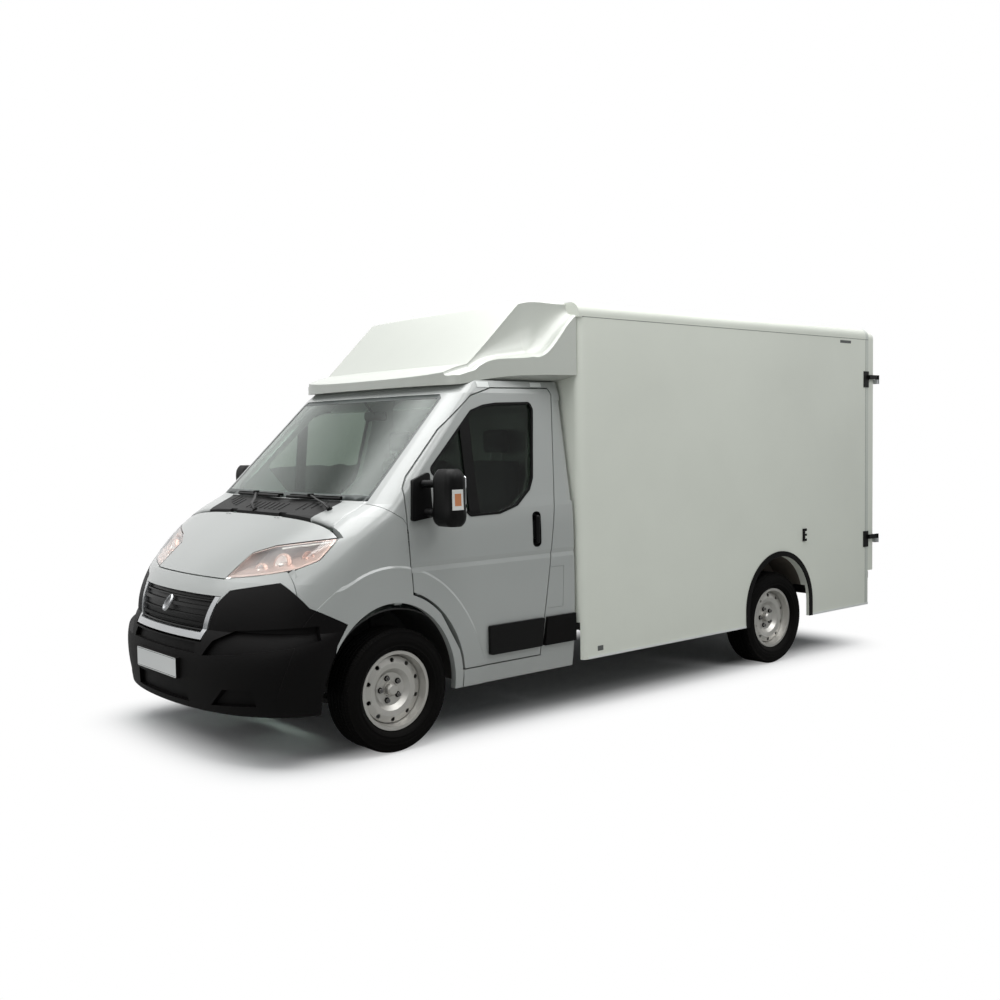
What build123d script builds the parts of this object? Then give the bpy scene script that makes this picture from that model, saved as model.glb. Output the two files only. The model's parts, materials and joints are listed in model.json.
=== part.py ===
"""Box-bodied delivery van: cab, panel-built load box, running gear and doors.

Millimetres, front of the van towards -Y, its left side towards +X, ground at Z = 0.
The van is laid out from the front axle line (Y = 0) and moved at the end so that the
origin lies on the ground in the middle of the whole length.
"""
from build123d import *
import math
import os

os.makedirs("parts", exist_ok=True)

# ---------------------------------------------------------------- driving dimensions
wheelbase = 3450.0
front_overhang = 950.0
track_front = 1812.0
track_rear = 1792.0

tyre_radius = 343.0
tyre_width = 215.0
rim_radius = 221.0
rim_width = 165.0
rim_flange_height = 12.0
rim_flange_width = 9.0
hub_bore_radius = 30.0
wheel_stud_pcd = 130.0

cab_rear = 1350.0
cab_height = 2070.0
cab_floor_z = 590.0
skin = 36.0
door_thickness = 70.0
glass_thickness = 6.0
panel_gap = 3.0
door_gap = 8.0
bonnet_gap = 6.0

box_front = 1372.0
box_side_end = 4597.0
box_width = 2110.0
box_bottom = 324.0
box_height = 2560.0
box_wall = 60.0
skirt_wall = 25.0
load_floor_z = 640.0
floor_thickness = 80.0
roof_cap_height = 94.0
roof_corner_radius = 70.0
rear_frame_depth = 40.0
rear_leaf_thickness = 80.0
hinge_stand_off = 30.0
hinge_barrel_radius = 11.0

rail_inner_x = 400.0
rail_width = 70.0
rail_wall = 8.0
rail_bottom = 420.0
rail_height = 120.0

kingpin_x = 765.0
steer_lock = 35.0
running_gap = 0.3
shaft_gap = 0.05

# ---------------------------------------------------------------- derived places
half_box = box_width / 2
rear_frame_end = box_side_end + rear_frame_depth
leaf_rear = rear_frame_end + rear_leaf_thickness
rear_pin_y = leaf_rear + hinge_stand_off
rear_end = rear_pin_y + hinge_barrel_radius
shift_y = (front_overhang - rear_end) / 2
wheel_x_front = track_front / 2
wheel_x_rear = track_rear / 2
rail_top = rail_bottom + rail_height
rail_outer_x = rail_inner_x + rail_width
web_inner_x = rail_outer_x - rail_wall
floor_under = load_floor_z - floor_thickness
bore_gap_radius = hub_bore_radius - shaft_gap


# ---------------------------------------------------------------- small helpers
def block(x0, x1, y0, y1, z0, z1):
    """Box between two corners."""
    return Pos((x0 + x1) / 2, (y0 + y1) / 2, (z0 + z1) / 2) * Box(x1 - x0, y1 - y0, z1 - z0)


def outline(points, grow=0.0, corner=0.0):
    """Closed flat outline through the points, grown by a clearance, its corners rounded."""
    face = make_face(Polyline(*points, close=True))
    if corner:
        face = fillet(face.vertices(), corner)
    return offset(face, grow, kind=Kind.INTERSECTION) if grow else face


def side_cut(points, grow=0.0, x0=-1300.0, x1=1300.0, corner=0.0):
    """Side-view (Y, Z) outline carried across the van from x0 to x1."""
    return extrude(Plane((x0, 0, 0), x_dir=(0, 1, 0), z_dir=(1, 0, 0)) * outline(points, grow, corner), x1 - x0)


def front_cut(points, grow=0.0, y0=-1200.0, y1=900.0):
    """Front-view (X, Z) outline carried along the van from y0 to y1."""
    return extrude(Plane((0, y1, 0), x_dir=(1, 0, 0), z_dir=(0, -1, 0)) * outline(points, grow), y1 - y0)


def plan_cut(points, grow=0.0, z0=0.0, z1=3000.0):
    """Plan (X, Y) outline carried upwards from z0 to z1."""
    return extrude(Pos(0, 0, z0) * outline(points, grow), z1 - z0)


def mirrored(points):
    """Right-hand half of a front-view outline, with its mirror image added."""
    return points + [(-x, z) for x, z in reversed(points)]


def other_side(shape):
    """The same piece on the van's right-hand side."""
    return mirror(shape, Plane.YZ)


def pair(shape):
    return [shape, other_side(shape)]


def rod(start, end, radius):
    """Round bar between two points."""
    a, b = Vector(*start), Vector(*end)
    return Plane(origin=a, z_dir=b - a) * Cylinder(
        radius, (b - a).length, align=(Align.CENTER, Align.CENTER, Align.MIN))


def solids_of(shape):
    """Every solid in a shape or list of shapes."""
    items = shape if isinstance(shape, (list, tuple)) else [shape]
    return [s for item in items for s in item.solids()]


def save(name, shape):
    """Write one node, moved from the axle line to the middle of the van."""
    moved = [Pos(0, shift_y, 0) * s for s in solids_of(shape)]
    export_step(moved[0] if len(moved) == 1 else Compound(children=moved), f"parts/{name}.step")


# ---------------------------------------------------------------- cab outer form
# Each station: height, front on the centre line, half width, where the straight flank
# begins, and how far the front curve runs across and down the side before it turns.
nose_low = [
    (290, -925, 985, -420, 600, 325),
    (480, -942, 1008, -430, 650, 320),
    (620, -925, 1014, -430, 655, 308),
    (720, -885, 1016, -330, 690, 300),
]
nose_mid = [
    nose_low[-1],
    (900, -830, 1016, -300, 740, 260),
    (975, -772, 1015, -280, 740, 260),
]
nose_top = [
    nose_mid[-1],
    (1150, -540, 1012, -180, 760, 270),
    (1250, -390, 1008, -60, 790, 280),
    (1310, -300, 1002, 20, 770, 270),
]
screen_zone = [
    nose_top[-1],
    (1375, -150, 990, 60, 720, 160),
    (1995, 490, 890, 640, 714, 120),
    (cab_height, 575, 862, 740, 740, 130),
]


def station(z, front, half, flank, reach, drop, inset):
    """One level section of the cab, drawn in by the inset."""
    front, half, flank, back = front + inset, half - inset, flank + inset, cab_rear - inset
    left = Bezier((0, front), (reach, front), (half, flank - drop), (half, flank))
    right = Bezier((-half, flank), (-half, flank - drop), (-reach, front), (0, front))
    sides = Polyline((half, flank), (half, back), (-half, back), (-half, flank))
    return Pos(0, 0, z) * make_face(right.edges() + left.edges() + sides.edges())


def cab_form(inset=0.0, roof=True):
    """Solid bounded by the cab's skin drawn in by the inset, with its roof drawn in or left as it is."""
    form = None
    for zone, ruled in ((nose_low, False), (nose_mid, False), (nose_top, False), (screen_zone, True)):
        part = loft([station(*s, inset) for s in zone], ruled=ruled)
        form = part if form is None else form + part
    if inset > 0 and roof:
        form = form & block(-1200, 1200, -1200, cab_rear + 10, 0, cab_height - inset)
    return form


def layer(outer, inner):
    """Skin between two drawn-in forms."""
    return cab_form(outer) - cab_form(inner)


# ---------------------------------------------------------------- panel outlines
bonnet_front_z = 986.0
bonnet_rear = -320.0
scuttle_front = bonnet_rear + 24.0
scuttle_half = 850.0
lamp_front = [(436, 980), (985, 1040), (1060, 1045), (1060, 1222), (997, 1212), (593, 1155), (461, 1113)]
lamp_side = [(-900, 930), (-523, 1051), (-430, 1096), (-314, 1208), (-344, 1240), (-900, 1240)]
grille_front = [(420, 668), (480, 895), (-480, 895), (-420, 668)]
grille_top = 895.0
grille_mouth = [(394, 702), (452, 930), (-452, 930), (-394, 702)]
grille_slats = [(870, 7), (830, 18), (785, 7), (743, 16), (715, 6)]
grille_slat_depth = 7.0
grille_backing_depth = 26.0
bumper_wing = [(430, 655), (486, 869), (532, 929), (996, 1014), (1200, 1014), (1200, 100), (0, 100), (0, 655)]
fog_recess = [(462, 590), (520, 672), (640, 730), (985, 760), (1040, 755), (1030, 700), (960, 655), (640, 605)]
upper_slot = [(-400, 594), (400, 594), (384, 648), (-384, 648)]
lower_intake = [(-330, 322), (330, 322), (300, 420), (-300, 420)]
wing_intake = [(520, 330), (800, 345), (790, 430), (620, 425)]
bumper_recess_depth = 26.0
plate_half = 262.0
plate_z = (442.0, 556.0)
lens_wall = 5.0
lamp_depth = 110.0
lamp_wall = 6.0
bumper_side = [(-1200, 100), (-470, 100), (-470, 330), (-392, 650), (-327, 752), (-516, 852), (-628, 1016),
               (-1200, 1016)]
door_front_low = 112.0
door_front_high = 87.0
door_sill_z = 400.0
door_side = [(door_front_high, 1240), (door_front_low, 872), (door_front_low + 10, 640), (300, door_sill_z),
             (1062, door_sill_z), (1066, 489), (1150, 1005), (1215, 1462), (1280, 1990), (1262, 2026),
             (800, 2022), (640, 1975), (385, 1778), (126, 1514), (door_front_high, 1454)]
window_side = [(267, 1553), (529, 1275), (756, 1279), (900, 1320), (1014, 1410), (1050, 1480), (1118, 1900),
               (1095, 1945), (819, 1938), (720, 1925), (621, 1893)]
window_corner = 35.0
window_bar = (530.0, 604.0)
seal_width = 14.0
body_line = [(1040, 988), (1015, 988), (1008.5, 1016), (1014.5, 1046), (1040, 1046)]
body_line_start = 60.0
quarter_side = [(1000, 900), (1400, 900), (1400, 1100), (1000, 1100)]
quarter_recess = [(1238, 1330), (1420, 1330), (1420, 1955), (1298, 1955)]
fuel_flap = [(1134, 933), (1261, 933), (1249, 679), (1080, 679)]
groove_width = 4.0
groove_depth = 3.0
recess_depth = 5.0
handle_rear = 1078.0
handle_front = 1008.0
handle_z = (1063.0, 1278.0)
handle_pocket_depth = 24.0
dish_wall = 3.0
arch_centre = (-35.0, 300.0)
arch_half_width = 445.0
arch_half_height = 535.0
arch_band = 62.0
door_swing_relief = 8.0
flare_height = 6.0
flare_reach = 195.0
flare_slope = 16.0
wheelhouse_radius = 450.0
screen_front = [(850, 1388), (783, 1965), (750, 1990), (-750, 1990), (-783, 1965), (-850, 1388)]
front_frame_wall = 16.0
glass_inset = 4.0
front_frame_rear = -475.0
rail_front = -820.0
door_pin_x = 1002.0
door_pin_y = 145.0
door_pin_radius = 6.0
door_hinge_heights = (900.0, 1180.0)
hinge_height = 40.0


def both_sides(solid):
    return solid + other_side(solid)


def wheel_arch(grow=0.0):
    """Elliptical front wheel opening, cut through the flanks only."""
    face = Ellipse(arch_half_width + grow, arch_half_height + grow)
    plane = Plane((700, arch_centre[0], arch_centre[1]), x_dir=(0, 1, 0), z_dir=(1, 0, 0))
    return both_sides(extrude(plane * face, 500))


def flared_form():
    """Outside of the cab with its flanks raised round the front wheels."""
    raised = cab_form(-flare_height)
    rings = [Plane.YZ.offset(x) * (Pos(*arch_centre) * Ellipse(arch_half_width + grow, arch_half_height + grow))
             for x, grow in ((900, flare_reach + flare_slope), (1010, flare_reach + flare_slope),
                             (1010 + flare_slope, flare_reach - flare_slope), (1100, flare_reach - flare_slope))]
    return cab_form() + (raised & both_sides(loft(rings, ruled=True)))


def handle_pocket(grow=0.0):
    """Upright pocket with round ends behind the door handle."""
    width = handle_rear - handle_front + 2 * grow
    height = handle_z[1] - handle_z[0] + 2 * grow
    centre = ((handle_front + handle_rear) / 2, (handle_z[0] + handle_z[1]) / 2)
    face = RectangleRounded(width, height, 0.42 * width)
    plane = Plane((900, centre[0], centre[1]), x_dir=(0, 1, 0), z_dir=(1, 0, 0))
    return extrude(plane * face, 300) & cab_form(-60) - cab_form(handle_pocket_depth + grow)


def door_zone(grow=0.0, relief=0.0):
    """Door outline in side view, cut away round the wheel arch and further back by a swing relief."""
    return side_cut(door_side, grow) - wheel_arch(arch_band + relief - grow)


def hinge_arm(z):
    """Gooseneck arm from the hinge post to one door pin, with the pin itself."""
    z0, z1 = z - hinge_height / 2, z + hinge_height / 2
    arm = block(935, door_pin_x, door_pin_y - 5, door_pin_y + 5, z0, z1)
    arm = arm + block(935, 947, 40, door_pin_y + 5, z0, z1)
    return arm + rod((door_pin_x, door_pin_y, z0), (door_pin_x, door_pin_y, z1), door_pin_radius)


def door_hinge_leaf(z):
    """Two knuckles on the door, above and below the arm."""
    result = None
    for z0 in (z - hinge_height / 2 - 20, z + hinge_height / 2 + running_gap):
        z1 = z0 + 20 - running_gap
        knuckle = rod((door_pin_x, door_pin_y, z0), (door_pin_x, door_pin_y, z1), door_pin_radius)
        knuckle = knuckle + block(door_pin_x - 10, door_pin_x + 4, door_pin_y, door_pin_y + 24, z0, z1)
        result = knuckle if result is None else result + knuckle
    return result


def hinge_pocket(z):
    return block(850, door_pin_x + 7, 60, door_pin_y + 23, z - 50, z + 50)


def make_cab():
    outer, inner = flared_form(), cab_form(skin)
    shell = outer - inner
    arch = wheel_arch()
    lamp = both_sides(front_cut(lamp_front, y1=-200) & side_cut(lamp_side))
    lamp_open = both_sides(front_cut(lamp_front, panel_gap, y1=-200) & side_cut(lamp_side, panel_gap))
    under_bonnet = [(433, 900), (433, bonnet_front_z + 3), (461, 1113), (593, 1155), (997, 1213), (1300, 1216),
                    (1300, 900)]
    bonnet_zone = block(-1200, 1200, -1200, bonnet_rear, bonnet_front_z, 1500) \
        - both_sides(front_cut(under_bonnet, bonnet_gap, y1=-200))
    bonnet_open = block(-1200, 1200, -1200, scuttle_front, bonnet_front_z - bonnet_gap, 1500) \
        - both_sides(front_cut(under_bonnet, 0, y1=-200))
    grille_zone = front_cut(grille_front, y1=-600)
    grille_open = front_cut(grille_front, panel_gap, y1=-600)
    bumper_zone = both_sides(front_cut(bumper_wing)) & side_cut(bumper_side)
    bumper_open = both_sides(front_cut(bumper_wing, panel_gap)) & side_cut(bumper_side, panel_gap)
    door_open = door_zone(door_gap)
    screen_open = front_cut(screen_front, 0.0, -400, 750)
    nose_side = [(-1200, 100), (463, 100), (463, door_sill_z + 60), (200, 900), (door_front_high + 5, 1240),
                 (55, 1290), (-80, 1372), (bonnet_rear, 1372), (-1200, 1372)]
    scuttle_zone = block(-scuttle_half, scuttle_half, scuttle_front, 200, 1250, 1385)

    nose = shell - arch
    save("bonnet", (shell & bonnet_zone) + bonnet_hinge_ears())
    save("headlamps", (outer - cab_form(lens_wall)) & lamp)
    save("lamp_housings", make_lamp_housings(lamp))
    bumper = nose & bumper_zone
    recesses = front_cut(upper_slot, y1=-700) + front_cut(lower_intake, y1=-700) \
        + both_sides(front_cut(fog_recess, y1=-480)) + both_sides(front_cut(wing_intake, y1=-600))
    bumper = bumper - (recesses - cab_form(bumper_recess_depth))
    pad = block(-plate_half, plate_half, -front_overhang, -900, *plate_z) - cab_form(1)
    save("front_bumper", bumper + pad)
    save("grille_surround", (shell & grille_zone) - front_cut(grille_mouth, y1=-600))
    save("grille", make_grille())
    save("front_frame", make_front_frame())
    save("front_panel", (shell & block(-1200, 1200, -1200, -560, 862, 1060)) - bonnet_open - lamp_open
         - bumper_open - grille_open)
    fender = (nose & side_cut(nose_side)) - block(-1200, 1200, -1300, -560 + panel_gap, 0, 1600)
    fender = fender - bonnet_open - lamp_open - bumper_open - scuttle_zone - door_open
    fender = fender - block(-scuttle_half, scuttle_half, -1200, 463, 0, 1600)
    save("front_fenders", fender - block(-1200, 1200, -1300, 100, 0, 600))
    scuttle = shell & scuttle_zone
    for x in (-bonnet_hinge_x, bonnet_hinge_x):
        scuttle = scuttle - block(x - 40, x + 40, -400, scuttle_front + 14, 1200, 1400)
    save("scuttle", scuttle)
    save("windscreen", layer(glass_inset, glass_inset + glass_thickness) & front_cut(screen_front, -running_gap, -400, 750))

    body = shell - side_cut(nose_side, panel_gap) - door_open - screen_open - scuttle_zone
    body = body - block(-900, 900, cab_rear - 60, cab_rear + 60, 0, cab_floor_z - 30) - wheel_arch(arch_band)
    body = body - both_sides(front_cut(body_line, y1=cab_rear + 10) & side_cut(quarter_side))
    body = body - (side_cut(fuel_flap, x0=900) - side_cut(fuel_flap, -groove_width, x0=900) - cab_form(groove_depth))
    body = body - both_sides(side_cut(quarter_recess, x0=800, corner=12) - cab_form(recess_depth))
    post = (block(900, 975, 10, 58, 815, 1320) & inner) + (block(880, 975, 10, 58, 1315, 1400) & cab_form(skin - 1))
    for z in door_hinge_heights:
        post = post + hinge_arm(z)
    save("cab_body", body + both_sides(post) + bonnet_hinge_brackets())

    door_shell = outer - cab_form(door_thickness, roof=False)
    for side, name in ((1, "left"), (-1, "right")):
        half = block(0, 1300, -1300, 2000, 0, 3000)
        door = (door_shell & door_zone(relief=door_swing_relief) & half) - side_cut(window_side, corner=window_corner)
        door = door - handle_pocket() - (front_cut(body_line, y1=cab_rear) & block(0, 1300, body_line_start, 1400, 0, 2000))
        for z in door_hinge_heights:
            door = (door - hinge_pocket(z)) + door_hinge_leaf(z)
        glass = layer(15, 15 + glass_thickness) & side_cut(window_side, -running_gap, corner=window_corner) & half
        save(f"cab_door_{name}", door if side > 0 else other_side(door))
        save(f"door_glass_{name}", glass if side > 0 else other_side(glass))
    return inner


def make_lamp_housings(lamp):
    """Bowl behind each lamp cover, with a deep round reflector for each of its two beams."""
    bowl = lamp & layer(lens_wall + running_gap, lamp_depth)
    inner = both_sides(front_cut(lamp_front, -lamp_wall, y1=-200) & side_cut(lamp_side, -lamp_wall))
    bowl = bowl - (inner - cab_form(lamp_depth - lamp_wall))
    return bowl & (lamp - both_sides(block(990, 1200, -1200, 0, 900, 1300)))


def make_front_frame():
    """Carrier behind the nose panels, with the bumper beam and its crash cans on the rails."""
    backing = layer(skin + running_gap, skin + front_frame_wall)
    zone = block(-1100, 1100, -1100, front_frame_rear, 600, 975) \
        + both_sides(block(460, 1100, -900, front_frame_rear, 970, 1080))
    carrier = (backing & zone) - front_cut(grille_front, -12, y1=-600) - wheel_arch(15)
    carrier = carrier - both_sides(front_cut(lamp_front, running_gap, y1=-200) & side_cut(lamp_side, running_gap))
    upright = block(rail_inner_x, rail_outer_x, -930, -840, rail_bottom + 10, 700)
    beam = block(-620, 620, -930, -850, rail_bottom + 10, rail_top - 10) + both_sides(upright)
    can = block(rail_inner_x + 5, rail_outer_x - 5, -900, rail_front - running_gap, rail_bottom + 10, rail_top - 10)
    return carrier + ((beam + both_sides(can)) & cab_form(skin + running_gap))


bonnet_hinge_x = 300.0
bonnet_pin_y = bonnet_rear + 8.0
bonnet_pin_z = 1289.0


def bonnet_hinge_ears():
    """Barrels at the bonnet's rear edge."""
    ears = None
    for x0 in (bonnet_hinge_x - 26, bonnet_hinge_x + 9):
        ear = rod((x0, bonnet_pin_y, bonnet_pin_z), (x0 + 17, bonnet_pin_y, bonnet_pin_z), 6)
        ear = ear + block(x0, x0 + 17, bonnet_rear - 12, bonnet_pin_y, bonnet_pin_z - 6, bonnet_pin_z + 2)
        ears = ear if ears is None else ears + ear
    return both_sides(ears)


def bonnet_hinge_brackets():
    """Brackets that rise from the bulkhead to the bonnet pins."""
    x0, x1 = bonnet_hinge_x - 8.7, bonnet_hinge_x + 8.7
    arm = rod((x0, bonnet_pin_y, bonnet_pin_z), (x1, bonnet_pin_y, bonnet_pin_z), 6)
    arm = arm + block(x0, x1, bonnet_pin_y - 5, bonnet_pin_y + 5, 1190, bonnet_pin_z)
    arm = arm + block(x0, x1, bonnet_pin_y - 5, 34, 1190, 1215)
    cross = block(x0, 905, 20, 50, 1190, 1215)
    return both_sides(arm + cross)


def make_grille():
    """Slats of two weights on a backing that follows the nose, inside the surround."""
    opening = front_cut(grille_mouth, -running_gap, y1=-600) & block(-600, 600, -1200, -600, 0, grille_top - running_gap)
    result = layer(grille_backing_depth, grille_backing_depth + 4) & opening
    bars = layer(grille_slat_depth, grille_backing_depth + 2) & opening
    for z, height in grille_slats:
        result = result + (bars & block(-600, 600, -1200, -600, z - height / 2, z + height / 2))
    return result


# ---------------------------------------------------------------- wheels
def revolve_about_x(profile):
    """Solid of revolution about X from (axial, radius) points."""
    face = make_face(Polyline(*profile, close=True))
    return revolve(face, Axis.X)


tyre_sides = 60


def make_tyre():
    """Tyre carcass of flat-faced sectors, open at its bead seat."""
    half, r = tyre_width / 2, tyre_radius
    half_turn = math.pi / tyre_sides
    flat = math.cos(half_turn)
    foot = rim_width / 2 - rim_flange_width - running_gap
    side = [(foot, rim_radius + 2), (half - 2, rim_radius + 30), (half, r - 62), (half - 10, r - 20), (half - 30, r)]
    outer = [(x, radius * flat) for x, radius in side + [(-x, radius) for x, radius in reversed(side)]]
    bead = rim_radius - rim_flange_height
    face = make_face(Plane.XZ * Polyline((-foot, bead), (foot, bead), *outer, close=True))
    reach = 2 * r * math.tan(half_turn)
    slab = extrude(face, reach, both=True)
    wedge = extrude(Plane.YZ.offset(-half - 1) * make_face(Polyline(
        (0, 0), (-reach, reach / math.tan(half_turn)), (reach, reach / math.tan(half_turn)), close=True)), tyre_width + 2)
    sector = slab & wedge
    turns = [sector.rotate(Axis.X, 360 / tyre_sides * (i + 0.5)) for i in range(tyre_sides)]
    return turns[0].fuse(*turns[1:])


def make_rim():
    """Pressed steel wheel turned as one section, with its vent holes, bolts and hub cap."""
    half = rim_width / 2
    bead = rim_radius - rim_flange_height - 0.3
    barrel = rim_radius - 32
    rim = revolve_about_x([
        (62, 0), (58, 26), (46, hub_bore_radius + 4), (18, hub_bore_radius + 4), (18, 62), (22, 92), (44, 118),
        (50, 148), (40, 184), (22, barrel), (half - 50, barrel), (half - 25, barrel + 8), (half, barrel + 14),
        (half, rim_radius), (half - rim_flange_width, rim_radius), (half - rim_flange_width, bead),
        (-half + rim_flange_width, bead), (-half + rim_flange_width, rim_radius), (-half, rim_radius),
        (-half, barrel + 14), (-half + 25, barrel + 8), (-half + 50, barrel), (12, barrel), (30, 184), (40, 148),
        (34, 118), (12, 92), (8, 62), (-60, 62), (-60, hub_bore_radius), (16, hub_bore_radius), (16, 0)])
    for i in range(10):
        a = math.radians(36 * i + 18)
        rim = rim - rod((0, 166 * math.cos(a), 166 * math.sin(a)), (80, 166 * math.cos(a), 166 * math.sin(a)), 13)
    for i in range(5):
        a = math.radians(72 * i + 36)
        r = wheel_stud_pcd / 2
        y, z = r * math.cos(a), r * math.sin(a)
        rim = rim + rod((11, y, z), (36, y, z), 11)
    return rim


def make_wheels():
    rim, tyre = make_rim(), make_tyre()
    for axle, y, x in (("front", 0, wheel_x_front), ("rear", wheelbase, wheel_x_rear)):
        place = Pos(x, y, tyre_radius)
        for name, piece in (("rim", rim), ("tyre", tyre)):
            save(f"{name}_{axle}_left", place * piece)
            save(f"{name}_{axle}_right", other_side(place * piece))


# ---------------------------------------------------------------- running gear
strut_top = 872.0
arm_top = 250.0
spindle_end_gap = 3.0
tie_end = (kingpin_x - 55, 85.0)
rack_y = 140.0


def make_knuckle():
    """Hub carrier with spindle, steering arm and the strut that turns with it."""
    spindle_end = wheel_x_front + 16 - spindle_end_gap
    spindle = rod((kingpin_x + 40, 0, tyre_radius), (spindle_end, 0, tyre_radius), bore_gap_radius)
    flange = rod((kingpin_x + 8, 0, tyre_radius), (wheel_x_front - 60 - 5, 0, tyre_radius), 60)
    arm = rod((kingpin_x, 0, 342), (tie_end[0], tie_end[1], 342), 12)
    arm = arm + rod((tie_end[0], tie_end[1], 330), (tie_end[0], tie_end[1], 354), 15)
    top = strut_top - running_gap
    bellows = [(70 - 14 * (i % 2), 735 + 20 * i) for i in range(6)]
    profile = [(0, arm_top + running_gap), (25, arm_top + running_gap), (25, 465), (22, 480), (22, 718), (60, 722)]
    strut = Pos(kingpin_x, 0, 0) * revolve(make_face(Plane.XZ * Polyline(
        *profile, *bellows, (40, top - 16), (40, top), (0, top), close=True)), Axis.Z)
    return strut + spindle + flange + arm


def make_front_suspension():
    cross = block(-rail_outer_x, rail_outer_x, -110, 110, 300, rail_bottom)
    arm = plan_cut([(rail_outer_x - 60, -200), (rail_outer_x - 60, 200), (rail_outer_x, 200), (kingpin_x, 26),
                    (kingpin_x, -26), (rail_outer_x, -200)], 0, 222, arm_top) \
        + rod((kingpin_x, 0, 222), (kingpin_x, 0, arm_top), 26)
    post = block(rail_outer_x - 60, rail_outer_x, -110, 110, arm_top, 300)
    rack = rod((-430, rack_y + 10, 315), (430, rack_y + 10, 315), 28)
    rack_mounts = [block(x - 30, x + 30, 100, rack_y, 300, 330) for x in (-250, 250)]
    tie = rod((420, rack_y + 10, 315), (tie_end[0], tie_end[1], 315), 9)
    tie = tie + rod((tie_end[0], tie_end[1], 302), (tie_end[0], tie_end[1], 330 - running_gap), 14)
    beam = cross + arm + other_side(arm) + post + other_side(post) + rack + tie + other_side(tie)
    for m in rack_mounts:
        beam = beam + m
    return beam


tow_bar_hole_radius = 6.5
tow_bar_hole_y = (rear_frame_end - 340, rear_frame_end - 220)
tow_bar_hole_z = (rail_bottom + rail_height / 2 - 30, rail_bottom + rail_height / 2 + 30)


def make_chassis():
    front, back = rail_front, rear_frame_end
    rail = block(rail_inner_x, rail_outer_x, front, back, rail_bottom, rail_top)
    rail = rail - block(rail_inner_x - 1, web_inner_x, front + 60, back - 60, rail_bottom + rail_wall,
                        rail_top - rail_wall)
    frame = rail + other_side(rail)
    for y in (front, 420, 1240, wheelbase - 1100, wheelbase - 470, wheelbase + 550, back - 40):
        frame = frame + block(-web_inner_x, web_inner_x, y, y + 40, rail_bottom + rail_wall, rail_top - rail_wall)
    for y in tow_bar_hole_y:
        for z in tow_bar_hole_z:
            hole = rod((rail_outer_x - 20, y, z), (rail_outer_x + 5, y, z), tow_bar_hole_radius)
            frame = frame - hole - other_side(hole)
    tower = block(540, 560, -90, 90, rail_bottom + 60, strut_top + 20) \
        + block(540, kingpin_x + 75, -90, 90, strut_top, strut_top + 20) \
        + block(rail_outer_x - 4, 545, -90, 90, rail_bottom + 60, rail_top)
    frame = frame + tower + other_side(tower)
    for y in (box_front + 330, wheelbase - 850, wheelbase + 450, wheelbase + 1000):
        outrigger = block(rail_outer_x - 4, half_box - box_wall, y, y + 50, rail_top - 60, floor_under)
        frame = frame + outrigger + other_side(outrigger)
    riser = block(rail_inner_x, rail_outer_x, box_front + box_wall, back, rail_top, floor_under)
    return frame + riser + other_side(riser)


def make_wheelhouse():
    """Plastic arch liner over one front wheel."""
    x0, x1 = 572.0, 1010.0
    centre = (0, -10.0, tyre_radius)
    solid = Pos((x0 + x1) / 2, centre[1], centre[2]) * Rot(0, 90, 0) * Cylinder(wheelhouse_radius + 8, x1 - x0)
    void = Pos((x0 + x1) / 2 + 8, centre[1], centre[2]) * Rot(0, 90, 0) * Cylinder(wheelhouse_radius, x1 - x0)
    liner = solid - void - block(500, 1100, -700, 700, -200, 330)
    liner = liner - Pos(kingpin_x, 0, 800) * Cylinder(80, 400)
    return liner & cab_form(skin)


spring_x = 560.0
spring_width = 70.0


def make_rear_axle():
    end = wheel_x_rear + 16 - spindle_end_gap
    beam = rod((-end, wheelbase, tyre_radius), (end, wheelbase, tyre_radius), bore_gap_radius)
    beam = beam + rod((-wheel_x_rear + 65, wheelbase, tyre_radius), (wheel_x_rear - 65, wheelbase, tyre_radius), 40)
    for s in (-1, 1):
        beam = beam + rod((s * (wheel_x_rear - 95), wheelbase, tyre_radius),
                          (s * (wheel_x_rear - 65), wheelbase, tyre_radius), 150)
    return beam


def make_leaf_spring():
    y0, y1 = wheelbase - 600, wheelbase + 640
    low, high, t = tyre_radius + 40 + running_gap, 470.0, 26.0
    lower = ThreePointArc((y0, high), (wheelbase, low), (y1, high))
    upper = ThreePointArc((y1, high + t), (wheelbase, low + t), (y0, high + t))
    face = make_face([lower.edge(), Line((y1, high), (y1, high + t)).edge(), upper.edge(),
                      Line((y0, high + t), (y0, high)).edge()])
    leaf = extrude(Plane((spring_x - spring_width / 2, 0, 0), x_dir=(0, 1, 0), z_dir=(1, 0, 0)) * face, spring_width)
    for y in (y0, y1):
        leaf = leaf + rod((spring_x - spring_width / 2, y, high + t / 2), (spring_x + spring_width / 2, y, high + t / 2), 26)
        leaf = leaf + block(rail_outer_x, spring_x - spring_width / 2 + 8, y - 30, y + 30, high - 20, rail_top - 8)
    return leaf


def make_under_parts():
    arm_x = web_inner_x - running_gap
    save("engine_block", block(-280, 280, -620, -170, 440, 920)
         + block(-arm_x, arm_x, -420, -340, 460, 520))
    save("fuel_tank", fillet(block(-300, 300, 1480, 2250, 330, rail_bottom + 100 - running_gap).edges(), 40)
         + block(-arm_x, arm_x, 1600, 1640, 450, 480)
         + block(-arm_x, arm_x, 2100, 2140, 450, 480))
    route = [(-180, -170, 480), (-180, 150, 480), (-180, 400, 375), (-560, 850, 375), (-560, 2760, 375)]
    path = FilletPolyline(*route, radius=80)
    pipe = sweep(Plane(origin=path @ 0, z_dir=path % 0) * Circle(27), path)
    pipe = pipe + rod((-560, 1500, 375), (-560, 2150, 375), 85)
    hanger = block(-575, -545, 1600, 1630, 400, 500) + block(-575, -rail_outer_x, 1600, 1630, 480, 500)
    save("exhaust", pipe + hanger)


# ---------------------------------------------------------------- load box
rear_arch_centre = (wheelbase - 6, 440.0)
rear_arch_radius = 372.0
inner_wheel_box_x = 770.0


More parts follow.
